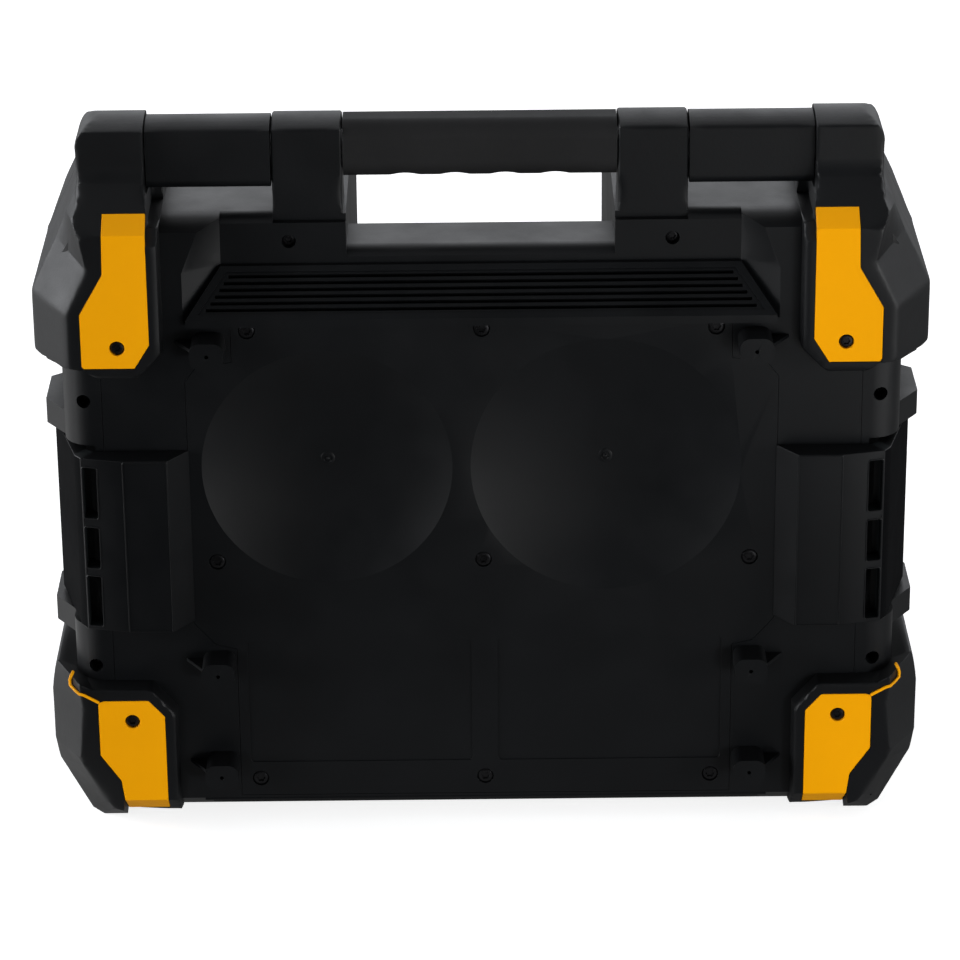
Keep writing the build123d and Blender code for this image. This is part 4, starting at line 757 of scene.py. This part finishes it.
def surround_level(tree, direction):
    """How bright the studio looks along a direction: paper behind, cards at the sides."""
    along = axes(tree, direction)
    paper = fade(tree, along["Y"], PAPER_SPAN_Y, PAPER_LEVEL, 0.0)
    left = fade(tree, along["X"], LEFT_SPAN_X, 0.0, LEFT_LEVEL)
    right = fade(tree, along["X"], RIGHT_SPAN_X, RIGHT_LEVEL, 0.0)
    return arithmetic(tree, "ADD", paper, arithmetic(tree, "ADD", left, right))


def mirrored_table(tree, place):
    """What the floor shows in mirrors: the surround carried on, the table, its near part."""
    distance = vector(tree, "LENGTH", place)
    along = axes(tree, place)
    share = fade(tree, distance, FLOOR_SHARE_SPAN, 0.0, FLOOR_SHARE)
    surround = surround_level(tree, vector(tree, "NORMALIZE", place))
    carried = arithmetic(tree, "MULTIPLY", surround, share)
    table = arithmetic(
        tree,
        "MULTIPLY",
        fade(tree, along["X"], TABLE_SPAN_X, TABLE_LEVEL, 0.0),
        fade(tree, along["Y"], TABLE_SPAN_Y, 0.0, 1.0),
    )
    near = fade(tree, distance, NEAR_SPAN, NEAR_LEVEL, 0.0)
    return arithmetic(tree, "ADD", arithmetic(tree, "ADD", carried, table), near)


def add_floor():
    """Pale floor that keeps the shadow: white to the camera, part of the studio in mirrors."""
    half = FLOOR_SIZE / 2
    corners = [(-half, -half, 0), (half, -half, 0), (half, half, 0), (-half, half, 0)]
    floor = mesh_object("floor", corners, [(0, 1, 2, 3)])
    material, tree, shader = new_material("floor")
    shader.inputs["Roughness"].default_value = 0.9
    shader.inputs["Specular IOR Level"].default_value = 0.1
    seen = seen_directly(tree)
    in_mirrors = tree.nodes.new("ShaderNodeLightPath").outputs["Is Glossy Ray"]
    lit = choice(tree, seen, grey(FLOOR_TONE), grey(FLOOR_SEEN))
    tree.links.new(
        choice(tree, in_mirrors, lit, grey(FLOOR_MIRRORED)), shader.inputs["Base Color"]
    )
    place = tree.nodes.new("ShaderNodeTexCoord").outputs["Object"]
    mirrored = arithmetic(tree, "MULTIPLY", mirrored_table(tree, place), in_mirrors)
    shown = arithmetic(tree, "MULTIPLY", seen, FLOOR_GLOW)
    tree.links.new(arithmetic(tree, "ADD", mirrored, shown), shader.inputs["Emission Strength"])
    shader.inputs["Emission Color"].default_value = WHITE
    floor.data.materials.append(material)


def add_world():
    """Studio surround: white paper behind the radio, dim towards the camera and overhead."""
    world = bpy.data.worlds.new("studio")
    bpy.context.scene.world = world
    world.use_nodes = True
    tree = world.node_tree
    background = tree.nodes["Background"]
    direction = tree.nodes.new("ShaderNodeTexCoord").outputs["Generated"]
    upward = axes(tree, direction)["Z"]
    under_top = fade(tree, upward, UNDER_TOP_SPAN_Z, 1.0, UNDER_TOP_SHARE)
    level = arithmetic(tree, "MULTIPLY", surround_level(tree, direction), under_top)
    level = arithmetic(tree, "ADD", level, fade(tree, upward, TOP_SPAN_Z, 0.0, TOP_LEVEL))
    level = arithmetic(tree, "ADD", level, ROOM_LEVEL)
    tinted = choice(tree, 1.0, STUDIO_TINT, level, "MULTIPLY")
    tree.links.new(
        choice(tree, seen_directly(tree), tinted, WHITE), background.inputs["Color"]
    )
    background.inputs["Strength"].default_value = 1.0


LAMPS = (
    # name, place, height on the radio that it is aimed at, size, watts, shows in mirrors
    ("key", (-1.0, 1.9, 0.10), 0.15, 0.3, 26.0, False),
    ("fill", (0.9, 2.2, 0.10), 0.15, 0.3, 11.0, False),
    ("left", (2.2, 0.7, 0.5), 0.18, 0.8, 3.0, True),
    ("right", (-2.0, 1.1, 0.45), 0.18, 0.7, 9.0, True),
)


def add_lamp(name, place, aim_height, size, power, mirrored):
    """A soft square lamp; where it isn't mirrored, it lights without a reflection."""
    data = bpy.data.lights.new(name, "AREA")
    data.shape = "SQUARE"
    data.size = size
    data.energy = power
    lamp = bpy.data.objects.new(name, data)
    lamp.location = place
    towards = Vector((0, 0, aim_height)) - Vector(place)
    lamp.rotation_euler = towards.to_track_quat("-Z", "Y").to_euler()
    lamp.visible_glossy = mirrored
    bpy.context.scene.collection.objects.link(lamp)


add_camera()
add_floor()
add_world()
for lamp in LAMPS:
    add_lamp(*lamp)
bpy.context.scene.view_settings.view_transform = "Standard"
